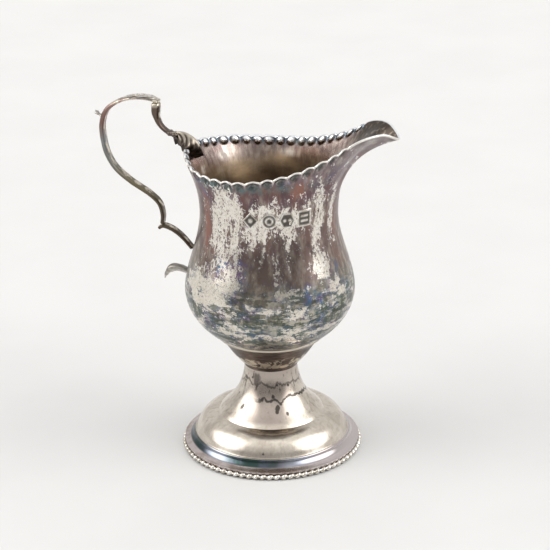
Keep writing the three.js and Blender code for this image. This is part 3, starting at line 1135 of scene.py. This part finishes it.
def mouth_columns(sizes):
    """Columns round the mouth, a fixed number to each scallop so that the cusps stay sharp."""
    other_side = [(x, -y, z) for x, y, z in reversed(MOUTH_SIDE)]
    corners = [TIP, *MOUTH_SIDE, HANDLE_SIDE, *other_side]
    line = smooth_line(corners, closed=True, per_span=MOUTH_SPAN)
    total = running_lengths(line)[-1]
    chance = random.Random(sizes.seed)
    lip = sizes.lip_length / MM
    widths = [chance.uniform(*WIDTH_RANGE) for _ in range(sizes.scallops)]
    stretch = (total - 2 * lip) / sum(widths)
    marks = [(lip * k / LIP_STEPS, 0.0, 0.0) for k in range(LIP_STEPS)]
    start = lip
    for width in widths:
        strength = chance.uniform(*DEPTH_RANGE)
        for k in range(SCALLOP_STEPS):
            across = 2 * k / SCALLOP_STEPS - 1
            marks.append((start + width * stretch * k / SCALLOP_STEPS, across, strength))
        start += width * stretch
    marks += [(start + lip * k / LIP_STEPS, 0.0, 0.0) for k in range(LIP_STEPS)]
    edges = points_at(line, [mark[0] for mark in marks])
    return [Column(edge, across, strength) for edge, (_, across, strength) in zip(edges, marks)]


def wall_normals(columns):
    normals = []
    count = len(columns)
    for i, column in enumerate(columns):
        left = columns[i - 1].wall
        right = columns[(i + 1) % count].wall
        rows = []
        for j in range(len(column.wall)):
            up = column.wall[min(j + 1, len(column.wall) - 1)] - column.wall[max(j - 1, 0)]
            normal = (right[j] - left[j]).cross(up)
            rows.append(normal.normalized() if normal.length > 1e-9 else Vector((0, 0, -1)))
        normals.append(rows)
    return normals


# Where handling rubbed the tarnish through, where it turned blue, teal or red, where the
# inside of the mouth gleams, and where the wall is painted darker. Each patch is its angle
# from the lip in degrees, height, half width in degrees, half height and amount.
RUBBED_PATCHES = [
    (-74, 79, 30, 5.4, 1.0), (-72, 87.5, 22, 3.2, -0.5), (-88, 73.5, 12, 5, 0.75),
    (-62, 78, 10, 4, 0.5), (-46, 85, 8, 5, 0.6), (-112, 86, 12, 4.5, 0.8), (-112, 76, 14, 9, 0.65),
    (-121, 79, 8, 9, 0.8), (-102, 71, 9, 5, 0.5), (-31, 83, 7, 11, 0.9), (-34, 70, 7, 7, 0.8),
    (-33, 63, 10, 3.2, 1.0), (-14, 80, 5, 12, 0.6), (-122, 70, 14, 5, 0.3), (-112, 56.5, 15, 3, 0.7),
    (-128, 52, 14, 2.5, 0.5), (-109, 62.5, 14, 4.2, 1.0), (-140, 59, 16, 4, 0.8),
    (-124, 56, 20, 4.5, 0.95), (-103, 49, 12, 4, 0.4), (-84, 53.5, 14, 1.6, 0.5),
    (-62, 58.5, 12, 2.0, 0.85), (-56, 52.5, 12, 1.4, 0.6), (-24, 57, 9, 4, 0.9),
    (-75, 50.8, 56, 2.4, -0.22), (-30, 66, 6, 3, 0.5), (-104, 44.5, 20, 1.6, 0.7),
    (-66, 45, 14, 2.2, 0.8), (-40, 45.5, 20, 2.0, 0.6), (-140, 45, 16, 3, 0.6), (-12, 47, 12, 4, 0.6),
    (-100, 58.5, 9, 2.0, 0.6), (-78, 70, 5, 3, 0.3),
]
COOL_PATCHES = [
    (-113, 63.5, 5, 3.0, 1.5), (-96, 62, 5, 3.5, 1.1), (-112, 66, 13, 1.4, 0.8),
    (-96, 66.5, 7, 1.1, 0.7), (-42, 54.5, 9, 2.4, 1.3), (-38, 50.5, 6, 2.6, 1.0),
    (-46, 58, 5, 2.0, 1.0), (-20, 63, 5, 2, 0.9), (-31, 62, 2.5, 1.2, 1.0), (-108, 90, 26, 1.8, 0.6),
    (-62, 90.5, 20, 1.2, 0.4), (-133, 86, 8, 4, 0.5), (-20, 92, 14, 3, 0.25), (-88, 45, 8, 1.2, 1.0),
    (-120, 47, 14, 1.5, 0.5), (-8, 56, 10, 4, 0.4),
]
TEAL_PATCHES = [
    (-84, 89.0, 48, 1.3, 0.9), (-122, 90.5, 9, 2.4, 1.0), (-60, 57, 16, 1.5, 0.5),
    (-95, 47, 30, 1.3, 0.6), (-15, 55, 12, 3, 0.5), (-70, 42.5, 40, 1.0, 0.5), (-150, 50, 12, 3, 0.4),
]
RED_PATCHES = [
    (-135, 78, 6, 8, 1.0), (-51, 88.3, 9, 2.6, 0.9), (-128, 69, 9, 3, 0.5), (-10, 72, 6, 9, 0.5),
    (-78, 88, 14, 2.5, 0.35),
]
GLINT_PATCHES = [
    (77, 92, 8, 2.6, 1.3), (142, 87, 6, 1.2, 1.2), (171, 85.2, 5, 1.2, 1.2), (86, 87, 9, 1.1, 1.1),
    (-70, 88, 25, 3, 0.4), (20, 90, 12, 3, 0.5),
]
DEEP_PATCHES = [
    (-76, 64, 18, 5, 0.45), (-66, 74, 10, 4, 0.7), (-55, 71, 10, 4, 0.9), (-53, 61, 8, 5, 0.6),
    (-135, 66, 14, 4, 0.4), (-96, 78, 4, 8, 0.5), (-117, 80, 4, 9, 0.6), (-72, 88.3, 22, 2.6, 1.1),
    (-47, 55.5, 9, 2, 0.9), (-50, 66, 7, 2.5, 0.5), (-86, 68, 7, 2, 0.5),
]
PATCH_LIMIT, PATCH_POWER = 4, 1.5
LEAST_PAINT, MOST_PAINT = -0.5, 1.3
# The belly is rubbed all over by this much, up to the first height, and not above the second.
BELLY_RUB = 0.26
BELLY_RUB_LOW, BELLY_RUB_HIGH = 54, 62


def painted(patches, angle, height):
    """How much of these patches lies at a spot of the wall."""
    total = 0.0
    for middle, level, half_angle, half_height, amount in patches:
        turn = (angle - middle + 180) % 360 - 180
        away = (turn / half_angle) ** 2 + ((height - level) / half_height) ** 2
        if away < PATCH_LIMIT:
            total += amount * math.exp(-(away**PATCH_POWER))
    return max(LEAST_PAINT, min(total, MOST_PAINT))


def far_side(patches, chance):
    """Patches of the same kind for the side away from the marks."""
    spread = []
    for _, level, half_angle, half_height, amount in patches:
        spread.append((chance.uniform(12, 178), level, half_angle, half_height, amount))
    return [*patches, *spread]


def belly_rub(height):
    return BELLY_RUB * (1 - clamped((height - BELLY_RUB_LOW) / (BELLY_RUB_HIGH - BELLY_RUB_LOW)))


def add_paint(piece, seed):
    """Stores the layers of the bowl's tarnish on its points."""
    chance = random.Random(seed)
    spots = [(v.co.x - AXIS_X, v.co.y, v.co.z / MM) for v in piece.data.vertices]
    places = [(math.degrees(math.atan2(y, x)), height) for x, y, height in spots]
    layers = {
        "rubbed": RUBBED_PATCHES,
        "cool": COOL_PATCHES,
        "teal": TEAL_PATCHES,
        "red": RED_PATCHES,
        "deep": DEEP_PATCHES,
    }
    for name, patches in layers.items():
        patches = far_side(patches, chance)
        values = [painted(patches, angle, height) for angle, height in places]
        if name == "rubbed":
            values = [value + belly_rub(height) for value, (_, height) in zip(values, places)]
        add_value(piece, name, values)
    add_value(piece, "glint", [painted(GLINT_PATCHES, angle, height) for angle, height in places])


# Share of each dent that shows as a raised bead inside the mouth.
BEAD_SHARE = 0.7
# Half width of a dent, as a share of its scallop's, and its middle and half height, as
# shares of how far down it reaches.
DENT_HALF_WIDTH, DENT_MIDDLE, DENT_HALF_HEIGHT = 0.86, 0.5, 0.62
DENT_POWER = 1.25
RIDGE_POWER = 2.6
# How far below the edge each of these fades out, or in for the ripple, in millimetres.
CUSP_FADE = 0.8
ROUNDING_SHARE, ROUNDING_FADE = 0.35, 0.5
RIPPLE_START = 4
EDGE_WEAR, INNER_EDGE_WEAR, RIDGE_WEAR = 0.3, 0.25, 1.6
GAP_FADE = 2.6
EDGE_TURNS = [math.pi * k / 5 for k in range(1, 5)]


def dent_at(column, drop, reach):
    """Depth of the punched dent at this drop below the edge, from 0 to 1."""
    if not column.strength:
        return 0.0
    along = (drop - DENT_MIDDLE * reach) / (DENT_HALF_HEIGHT * reach)
    away = (column.across / DENT_HALF_WIDTH) ** 2 + along**2
    return max(0.0, 1 - away) ** DENT_POWER * column.strength


def wall_drops(wall):
    """How far each row of a column lies below the edge, along the wall."""
    drops = [0.0] * len(wall)
    for j in range(len(wall) - 2, -1, -1):
        drops[j] = drops[j + 1] + (wall[j + 1] - wall[j]).length
    return drops


def ridge_of(column):
    """How near a column is to the ridge between two scallops, from 0 to 1."""
    return abs(column.across) ** RIDGE_POWER if column.strength else 0.0


def ripple_at(spot):
    """The unevenness that raising by hand leaves, as a share of its depth."""
    return noise.noise(spot * 0.09) + 0.5 * noise.noise(spot * 0.22)


def sheet_column(column, normals, drops, sizes):
    """Points of one column: up its outer face, over the edge, and down its inner face."""
    sheet = sizes.sheet / MM
    dent = sizes.dent_depth / MM
    ridge = ridge_of(column)
    outside = []
    inside = []
    for j in range(1, len(drops)):
        drop = drops[j]
        up = (column.wall[j] - column.wall[j - 1]).normalized()
        scoop = dent_at(column, drop, sizes.dent_height / MM)
        lowered = sizes.cusp_depth / MM * ridge * fading(drop, CUSP_FADE, 1)
        rounded = ROUNDING_SHARE * sheet * fading(drop, ROUNDING_FADE, 1)
        spot = column.wall[j] - up * (lowered + rounded)
        wave = sizes.unevenness / MM * ripple_at(spot)
        spot = spot - normals[j] * (dent * scoop + wave * min(1, drop / RIPPLE_START))
        outside.append(spot)
        inside.append(spot - normals[j] * (sheet - (1 - BEAD_SHARE) * dent * scoop))
    half = (outside[-1] - inside[-1]) / 2
    middle = (outside[-1] + inside[-1]) / 2
    up = (column.wall[-1] - column.wall[-2]).normalized() * half.length
    edge = [middle + half * math.cos(a) + up * math.sin(a) for a in EDGE_TURNS]
    return [*outside, *edge, *reversed(inside)]


def column_wear(column, drops, reach):
    """The wear on each point of a column, in the order of its points, and its hollow: painted shade in
    each dent outside, dark tarnish round the beads inside.
    """
    wear = []
    hollow = []
    for drop in drops[1:]:
        at_edge = fading(drop, EDGE_WEAR)
        on_ridge = 0.6 * ridge_of(column) ** 5 * fading(drop, RIDGE_WEAR)
        wear.append(min(1.0, at_edge + on_ridge))
        # Outside, the hollow value is painted shade in the dent.
        hollow.append(min(1.0, dent_at(column, drop, reach) * 1.5) * (1 - at_edge))
    wear += [1.0] * len(EDGE_TURNS)
    hollow += [0.0] * len(EDGE_TURNS)
    for drop in reversed(drops[1:]):
        bead = 1.3 * dent_at(column, drop, reach) ** 1.5
        gap = fading(drop, GAP_FADE, 4) if column.strength else 0.0
        wear.append(min(1.0, bead + fading(drop, INNER_EDGE_WEAR)))
        hollow.append(gap * max(0.0, 1 - bead))
    return wear, hollow


def bowl_faces(columns, ring, rows):
    """The bowl's faces, and which of them are inside. Its floor's two points come last."""
    bottom = columns * ring
    faces = []
    inner_faces = []
    for i in range(columns):
        a = i * ring
        b = ((i + 1) % columns) * ring
        faces.append((bottom, b, a))
        inner_faces.append(len(faces))
        faces.append((bottom + 1, a + ring - 1, b + ring - 1))
        for j in range(ring - 1):
            if j >= rows + 1:
                inner_faces.append(len(faces))
            faces.append((a + j, b + j, b + j + 1, a + j + 1))
    return faces, inner_faces


def make_bowl(sizes):
    columns = mouth_columns(sizes)
    rows = len(columns[0].wall)
    ring = 2 * (rows - 1) + len(EDGE_TURNS)
    points = []
    wear = []
    hollow = []
    for column, normals in zip(columns, wall_normals(columns)):
        drops = wall_drops(column.wall)
        points += sheet_column(column, normals, drops, sizes)
        column_values = column_wear(column, drops, sizes.dent_height / MM)
        wear += column_values[0]
        hollow += column_values[1]
    points += [Vector((0, 0, BOWL_FLOOR)), Vector((0, 0, BOWL_FLOOR + sizes.sheet / MM))]
    wear += [0.0, 0.0]
    hollow += [0.0, 0.0]
    faces, inner_faces = bowl_faces(len(columns), ring, rows)
    metals = (metal("jug_bowl_outside"), metal("jug_bowl_inside"))
    bowl = new_piece("jug_bowl", [at(*point) for point in points], faces, *metals)
    for index in inner_faces:
        bowl.data.polygons[index].material_index = 1
    add_value(bowl, "wear", wear)
    add_value(bowl, "hollow", hollow)
    add_paint(bowl, sizes.seed)
    return bowl


# ---- the marks ----

MARK_HEIGHT = 79.4
MARK_ANGLES = [-90.0, -74.8, -60.2, -45.4]
HALVINGS = 24


def neck_point(columns, angle, height, lift):
    """A point this far above the neck's outer face."""
    column = min(columns, key=lambda c: abs(c.angle - angle))
    curve = neck_curve(column.edge)
    low, high = 0.0, 1.0
    for _ in range(HALVINGS):
        middle = (low + high) / 2
        if bezier(curve, middle).z < height:
            low = middle
        else:
            high = middle
    spot = bezier(curve, low)
    radius = spot.x + lift
    return Vector((radius * math.cos(angle), radius * math.sin(angle), height))


def lozenge(x, y):
    return abs(x) / 2.1 + abs(y) / 2.3


def roundel(x, y):
    return math.hypot(x, y) / 2.0


def hexagon(x, y):
    return max(abs(y) / 2.0, abs(x) / 2.15 + abs(y) / 4.6)


def oblong(x, y):
    return max(abs(x) / 1.9, abs(y) / 2.2)


def dot(x, y, radius):
    return max(0.0, 1 - (math.hypot(x, y) / radius) ** 2)


def ring_motif(x, y):
    return fading(math.hypot(x, y) - 0.95, 0.3)


def twin_dots(x, y):
    return max(dot(x - 0.75, y, 0.6), dot(x + 0.75, y, 0.6))


def twin_bars(x, y):
    return fading(abs(y) - 0.75, 0.3) if abs(x) < 1.2 else 0.0


# Each mark's outline, which is 1 on its line, and the motif inside it.
MARK_SHAPES = [
    (lozenge, lambda x, y: dot(x, y, 0.85)),
    (roundel, ring_motif),
    (hexagon, twin_dots),
    (oblong, twin_bars),
]
MARK_STEPS = 34
MARK_HALF = 2.7
MARK_ROOT = -0.4
MARK_EDGE = -0.06
OUTLINE_PLACE, OUTLINE_REACH, OUTLINE_LIFT = 1.02, 0.13, 0.16
GROUND_LIFT = 0.085
MOTIF_LIMIT, MOTIF_LIFT = 0.85, 0.15


def mark_relief(outline, motif, x, y):
    """How far a spot of a mark stands above the neck, its wear and its dirt."""
    edge = outline(x, y)
    rim = fading(edge - OUTLINE_PLACE, OUTLINE_REACH)
    raised = motif(x, y) if edge < MOTIF_LIMIT else 0.0
    inside = 1.0 if edge < 1 else 0.0
    lift = MARK_EDGE + OUTLINE_LIFT * rim + inside * (GROUND_LIFT + MOTIF_LIFT * raised)
    return lift, max(rim, raised), max(0.0, inside - rim - raised)


def mark_faces(start):
    """The faces of one mark: its front, its back and the wall between their rims."""
    row = MARK_STEPS + 1
    back = row * row
    faces = []
    for i in range(MARK_STEPS):
        for j in range(MARK_STEPS):
            a = start + i * row + j
            faces.append((a, a + row, a + row + 1, a + 1))
            faces.append((a + back, a + back + 1, a + back + row + 1, a + back + row))
    rim_points = [i * row for i in range(row)]
    rim_points += [MARK_STEPS * row + j for j in range(1, row)]
    rim_points += [i * row + MARK_STEPS for i in range(MARK_STEPS - 1, -1, -1)]
    rim_points += [j for j in range(MARK_STEPS - 1, 0, -1)]
    for k, a in enumerate(rim_points):
        b = rim_points[(k + 1) % len(rim_points)]
        faces.append((start + a, start + back + a, start + back + b, start + b))
    return faces


def make_marks(sizes):
    """Four plain punches on the neck, each a raised outline round a geometric motif."""
    columns = mouth_columns(sizes)
    places = [MARK_HALF * (2 * i / MARK_STEPS - 1) for i in range(MARK_STEPS + 1)]
    points = []
    faces = []
    wear = []
    hollow = []
    for degrees, (outline, motif) in zip(MARK_ANGLES, MARK_SHAPES):
        faces += mark_faces(len(points))
        for front in (True, False):
            for x in places:
                for y in places:
                    values = mark_relief(outline, motif, x, y) if front else (MARK_ROOT, 0.0, 0.0)
                    lift, worn, dirty = values
                    angle = math.radians(degrees) + x / WAIST[0]
                    points.append(at(*neck_point(columns, angle, MARK_HEIGHT + y, lift)))
                    wear.append(worn)
                    hollow.append(dirty)
    marks = new_piece("jug_marks", points, faces, metal("jug_rubbed_metal"))
    add_value(marks, "wear", wear)
    add_value(marks, "hollow", hollow)
    return marks


# ---- the handle ----


MAIN_SCROLL = [
    (-32.7, 106.5), (-35.0, 107.15), (-38.3, 107.45), (-41.6, 107.1), (-45.6, 105.7),
    (-49.1, 102.9), (-50.6, 98.7), (-50.5, 94.5), (-49.5, 89.8), (-46.9, 85.2), (-42.5, 81.5),
    (-36.4, 77.7), (-33.7, 75.1), (-32.7, 71.7), (-32.9, 68.5),
]
LOWER_SCROLL = [
    (-34.3, 67.1), (-32.7, 68.0), (-30.4, 67.4), (-28.5, 66.3), (-26.8, 64.9), (-25.3, 63.3),
    (-23.7, 61.4),
]
TAIL_CURL = [
    (-24.6, 53.2), (-26.2, 54.1), (-28.0, 54.6), (-29.7, 54.6), (-31.1, 53.9), (-32.1, 52.6),
    (-32.9, 50.9),
]
RIM_ARM = [
    (-27.2, 96.5), (-29.8, 97.2), (-31.6, 98.3), (-33.0, 100.0), (-33.9, 102.6), (-33.9, 106.6),
]
LEAF_CAP = [(-33.0, 107.1), (-35.0, 107.8), (-38.3, 108.1), (-41.6, 107.8), (-45.4, 106.45)]
RIM_LEAF = [
    (-29.0, 96.6), (-27.2, 97.2), (-25.2, 97.0), (-23.2, 95.9), (-21.4, 94.1), (-20.4, 92.2),
    (-19.8, 90.8),
]
THUMB_SPUR = [(-50.6, 100.9), (-51.6, 101.4), (-52.4, 102.0), (-52.9, 102.6)]


def main_scroll():
    thick = [(0, 0.5), (0.15, 0.52), (0.32, 0.88), (0.45, 0.88), (0.6, 0.76), (1, 0.68)]
    wide = [(0, 1.6), (0.2, 1.55), (0.4, 1.7), (1, 1.6)]
    section = tapered(thick, wide, flat=0.75)
    return swept_bar("jug_main_scroll", MAIN_SCROLL, section, metal("jug_handle_metal"), steps=200)


def rim_arm():
    thick = [(0, 0.6), (0.4, 0.62), (0.6, 0.85), (0.8, 1.3), (1, 1.4)]
    wide = [(0, 1.2), (0.5, 1.35), (0.8, 1.75), (1, 1.7)]
    section = tapered(thick, wide, flat=0.85, knops=[(0.19, 0.035), (0.08, 0.04)])
    return swept_bar("jug_rim_arm", RIM_ARM, section, metal("jug_handle_metal"), steps=80)


def lower_scroll():
    section = tapered([(0, 0.62), (0.2, 0.7), (1, 0.55)], [(0, 1.5), (1, 1.5)], flat=0.75)
    return swept_bar("jug_lower_scroll", LOWER_SCROLL, section, metal("jug_handle_metal"))


def tail_curl():
    thick = [(0, 0.6), (0.35, 0.95), (0.6, 1.3), (0.8, 0.75), (1, 0.18)]
    wide = [(0, 1.3), (0.5, 1.45), (0.8, 1.2), (1, 0.25)]
    section = tapered(thick, wide, flat=0.8)
    return swept_bar("jug_tail_curl", TAIL_CURL, section, metal("jug_rubbed_metal"), grime=0.8)


def thumb_spur():
    thick = [(0, 0.5), (0.35, 0.28), (0.7, 0.5), (1, 0.14)]
    wide = [(0, 0.9), (0.35, 0.55), (0.7, 0.95), (1, 0.2)]
    section = tapered(thick, wide, flat=1.0)
    silver = metal("jug_rubbed_metal")
    return swept_bar("jug_thumb_spur", THUMB_SPUR, section, silver, steps=40, grime=0.6)


def leaf_relief(along, side, lobes, height):
    """A raised midrib with veins that run out to each lobe."""
    midrib = fading(side, 0.19)
    veins = 0.5 + 0.5 * math.cos(2 * math.pi * (lobes * along - 2.2 * abs(side)))
    edge = max(0.0, 1 - side**6)
    return height * edge * (0.45 + 0.55 * midrib + 0.4 * veins * (1 - midrib))


def lobed(along, depth, lobes, start):
    """The wavy width of a leaf, against its plain one."""
    return 1 + depth * math.cos(2 * math.pi * (lobes * along + start))


def leaf_cap():
    width = [(0, 1.3), (0.25, 1.9), (0.6, 1.5), (0.9, 0.7), (1, 0.12)]
    height = [(0, 0.35), (0.5, 0.42), (1, 0.2)]

    def blade(along, side):
        half_wide = eased(width, along) * lobed(along, 0.14, 4, 0.25)
        return half_wide, leaf_relief(along, side, 4, eased(height, along)), 0.3 * side**2

    return leaf_blade("jug_leaf_cap", LEAF_CAP, blade, metal("jug_rubbed_metal"))


def rim_leaf():
    width = [(0, 0.9), (0.22, 2.2), (0.5, 4.4), (0.72, 3.1), (0.9, 0.9), (1, 0.12)]
    height = [(0, 0.6), (0.5, 0.68), (1, 0.3)]

    def blade(along, side):
        half_wide = eased(width, along) * lobed(along, 0.16, 3, 0.3)
        droop = 2.6 * abs(side) ** 1.5
        return half_wide, leaf_relief(along, side, 6, eased(height, along)), droop

    return leaf_blade("jug_rim_leaf", RIM_LEAF, blade, metal("jug_dark_metal"), tarnish=1.0)


# ---- operators ----


class MakeFoot(bpy.types.Operator):
    """Make the domed foot and the stem"""

    bl_idname = "cream_jug.foot"
    bl_label = "Foot and stem"

    def execute(self, context):
        silver = metal("jug_foot_metal")
        dark = metal("jug_dark_metal")
        foot = turned_piece("jug_foot", foot_profile(), silver, segments=256)
        stem = turned_piece("jug_stem", stem_profile(), silver)
        collar = turned_piece("jug_collar", collar_profile(), dark)
        seat = turned_piece("jug_seat_solder", seat_ring_profile(), dark)
        for piece, nodes in ((foot, "foot_dome"), (stem, "stem"), (collar, "bowl_collar")):
            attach(piece, "root")
            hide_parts(nodes)
        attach(seat, "root")
        return {"FINISHED"}


# The wire between two beads and a bead's height, as shares of the bead's thickness.
WIRE_SHARE = 0.24
BEAD_FLATNESS = 0.8
WIRE_LIFT = 0.1 * MM


class MakeBeadedWire(bpy.types.Operator):
    """Make the beaded wire that the jug stands on"""

    bl_idname = "cream_jug.beaded_wire"
    bl_label = "Beaded wire"

    def execute(self, context):
        sizes = context.scene.cream_jug_foot
        width = sizes.bead_width
        values = {
            "Beads": sizes.beads,
            "Radius": STAND_RADIUS * MM - width / 2,
            "Wire Radius": width * WIRE_SHARE,
            "Centre": (AXIS_X, 0, width / 2 + WIRE_LIFT),
            "Bead Size": (width, sizes.bead_length, width * BEAD_FLATNESS),
            "Lean": sizes.bead_lean,
            "Material": metal("jug_rubbed_metal"),
        }
        base = bpy.data.meshes.new("wire_base")
        wire = made_by_nodes("jug_beaded_wire", beaded_wire_tree(), base, values)
        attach(wire, "root")
        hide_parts("foot_bead_wire")
        return {"FINISHED"}


class MakeBowl(bpy.types.Operator):
    """Make the bowl with its punched edge and pouring lip"""

    bl_idname = "cream_jug.bowl"
    bl_label = "Bowl"

    def execute(self, context):
        bowl = make_bowl(context.scene.cream_jug_bowl)
        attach(bowl, "root")
        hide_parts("bowl")
        return {"FINISHED"}


class MakeMarks(bpy.types.Operator):
    """Make the four plain punch marks on the neck"""

    bl_idname = "cream_jug.marks"
    bl_label = "Punch marks"

    def execute(self, context):
        marks = make_marks(context.scene.cream_jug_bowl)
        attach(marks, "root")
        return {"FINISHED"}


class MakeHandle(bpy.types.Operator):
    """Make the scrolls of the handle"""

    bl_idname = "cream_jug.handle"
    bl_label = "Handle"

    def execute(self, context):
        scrolls = [
            (main_scroll(), "handle_main_scroll", "handle_silver"),
            (rim_arm(), "handle_rim_arm", "handle_silver"),
            (lower_scroll(), "handle_lower_scroll", "handle_silver"),
            (tail_curl(), "handle_tail_curl", "rubbed_silver"),
            (thumb_spur(), "handle_thumb_spur", "rubbed_silver"),
        ]
        for piece, node, finish in scrolls:
            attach(piece, "root")
            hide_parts(node)
        return {"FINISHED"}


class MakeLeaves(bpy.types.Operator):
    """Make the leaf on top of the handle and the leaf over the rim"""

    bl_idname = "cream_jug.leaves"
    bl_label = "Leaves"

    def execute(self, context):
        leaves = [
            (leaf_cap(), "handle_leaf_cap", "rubbed_silver"),
            (rim_leaf(), "handle_rim_leaf", "darkened_silver"),
        ]
        for piece, node, finish in leaves:
            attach(piece, "root")
            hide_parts(node)
        return {"FINISHED"}


# ---- the stage ----

CAMERA_SPOT = (144.7, -534.0, 278.3)
CAMERA_HEADING = (-0.2400, 0.8956, -0.3746)
CAMERA_ROLL = -0.7
CAMERA_LENS = 130.9


def add_camera():
    data = bpy.data.cameras.new("camera")
    data.sensor_width = 36
    data.lens = CAMERA_LENS
    data.clip_start = 0.01
    camera = bpy.data.objects.new("camera", data)
    camera.location = at(*CAMERA_SPOT)
    turn = Vector(CAMERA_HEADING).to_track_quat("-Z", "Y")
    roll = Euler((0, 0, math.radians(CAMERA_ROLL))).to_quaternion()
    camera.rotation_euler = (turn @ roll).to_euler()
    bpy.context.scene.collection.objects.link(camera)
    bpy.context.scene.camera = camera


def add_light(name, spot, aim, size, power):
    data = bpy.data.lights.new(name, "AREA")
    data.shape = "RECTANGLE"
    data.size, data.size_y = size
    data.energy = power
    light = bpy.data.objects.new(name, data)
    light.location = spot
    light.rotation_euler = (Vector(aim) - Vector(spot)).to_track_quat("-Z", "Y").to_euler()
    bpy.context.scene.collection.objects.link(light)


FLOOR_GREY = (0.67, 0.67, 0.67)
FLOOR_PALE = (0.69, 0.69, 0.69)


def add_floor():
    half = 3.0
    corners = [(-half, -half, 0), (half, -half, 0), (half, half, 0), (-half, half, 0)]
    finish = Finish("pale_floor")
    finish.set(finish.shader.inputs["Metallic"], 0.0)
    grain = finish.step(finish.grain(0.02, 3), 0.3, 0.7)
    finish.show(finish.mix(grain, FLOOR_GREY, FLOOR_PALE), 0.9)
    new_piece("floor", corners, [(0, 1, 2, 3)], finish.material)


# Each soft box's direction from the jug and its strength.
SOFT_BOXES = {
    "top": ((0.05, -0.52, 0.853), 0.32),
    "left": ((-0.769, -0.358, 0.530), 2.8),
    "right": ((0.847, -0.044, 0.530), 2.8),
}
BOX_EDGE, BOX_MIDDLE = 0.84, 0.97
ROOM_STRENGTH, ROOM_LEAST = 0.48, 0.28
ROOM_COLOUR = (1, 0.985, 0.965, 1)


def add_world():
    """A pale room, dimmer low down in front, with soft boxes above and on each side."""
    world = bpy.data.worlds.new("room")
    world.use_nodes = True
    bpy.context.scene.world = world
    tree = Tree(world.node_tree)
    background = world.node_tree.nodes["Background"]
    direction = tree.add("ShaderNodeTexCoord").outputs["Generated"]
    axes = tree.add("ShaderNodeSeparateXYZ", {0: direction}).outputs
    behind = tree.add("ShaderNodeMapRange", {"Value": axes[1], "From Min": -0.5, "From Max": 0.6})
    above = tree.add("ShaderNodeMapRange", {"Value": axes[2], "From Min": 0.02, "From Max": 0.62})
    light = tree.plus(tree.times(tree.most(behind, above), ROOM_STRENGTH), ROOM_LEAST)
    for aim, strength in SOFT_BOXES.values():
        aimed = tree.add("ShaderNodeVectorMath", {0: direction, 1: aim}, operation="DOT_PRODUCT")
        toward = aimed.outputs["Value"]
        values = {"Value": toward, "From Min": BOX_EDGE, "From Max": BOX_MIDDLE}
        glow = tree.add("ShaderNodeMapRange", values, interpolation_type="SMOOTHSTEP")
        light = tree.plus(light, tree.times(glow, strength))
    tree.set(background.inputs["Strength"], light)
    background.inputs["Color"].default_value = ROOM_COLOUR


class MakeStage(bpy.types.Operator):
    """Make the floor, the light and the camera"""

    bl_idname = "cream_jug.stage"
    bl_label = "Stage"

    def execute(self, context):
        add_camera()
        add_floor()
        add_world()
        half_way_up = at(0, 0, 55)
        add_light("overhead", at(0, 200, 1300), half_way_up, size=(1.6, 1.6), power=1.5)
        context.scene.view_settings.view_transform = "Standard"
        return {"FINISHED"}


class CreamJugPanel(bpy.types.Panel):
    """Sizes, colours and buttons of the cream jug"""

    bl_idname = "VIEW3D_PT_cream_jug"
    bl_label = "Silver Cream Jug"
    bl_space_type = "VIEW_3D"
    bl_region_type = "UI"
    bl_category = "Cream Jug"

    def draw(self, context):
        scene = context.scene
        for group in (scene.cream_jug_bowl, scene.cream_jug_foot, scene.cream_jug_colours):
            box = self.layout.box()
            for name in group.bl_rna.properties.keys():
                if name not in {"rna_type", "name"}:
                    box.prop(group, name)
        for operator in OPERATORS:
            self.layout.operator(operator.bl_idname)


GROUPS = {
    "cream_jug_bowl": CreamJugBowlSizes,
    "cream_jug_foot": CreamJugFootSizes,
    "cream_jug_colours": CreamJugColours,
}
OPERATORS = [MakeStage, MakeFoot, MakeBeadedWire, MakeBowl, MakeMarks, MakeHandle, MakeLeaves]


def register():
    for group in GROUPS.values():
        bpy.utils.register_class(group)
    for name, group in GROUPS.items():
        setattr(bpy.types.Scene, name, bpy.props.PointerProperty(type=group))
    for operator in OPERATORS:
        bpy.utils.register_class(operator)
    bpy.utils.register_class(CreamJugPanel)


def unregister():
    bpy.utils.unregister_class(CreamJugPanel)
    for operator in reversed(OPERATORS):
        bpy.utils.unregister_class(operator)
    for name, group in GROUPS.items():
        delattr(bpy.types.Scene, name)
        bpy.utils.unregister_class(group)


def main():
    register()
    bpy.ops.cream_jug.stage()
    bpy.ops.cream_jug.foot()
    bpy.ops.cream_jug.beaded_wire()
    bpy.ops.cream_jug.bowl()
    bpy.ops.cream_jug.marks()
    bpy.ops.cream_jug.handle()
    bpy.ops.cream_jug.leaves()


if __name__ == "__main__":
    main()
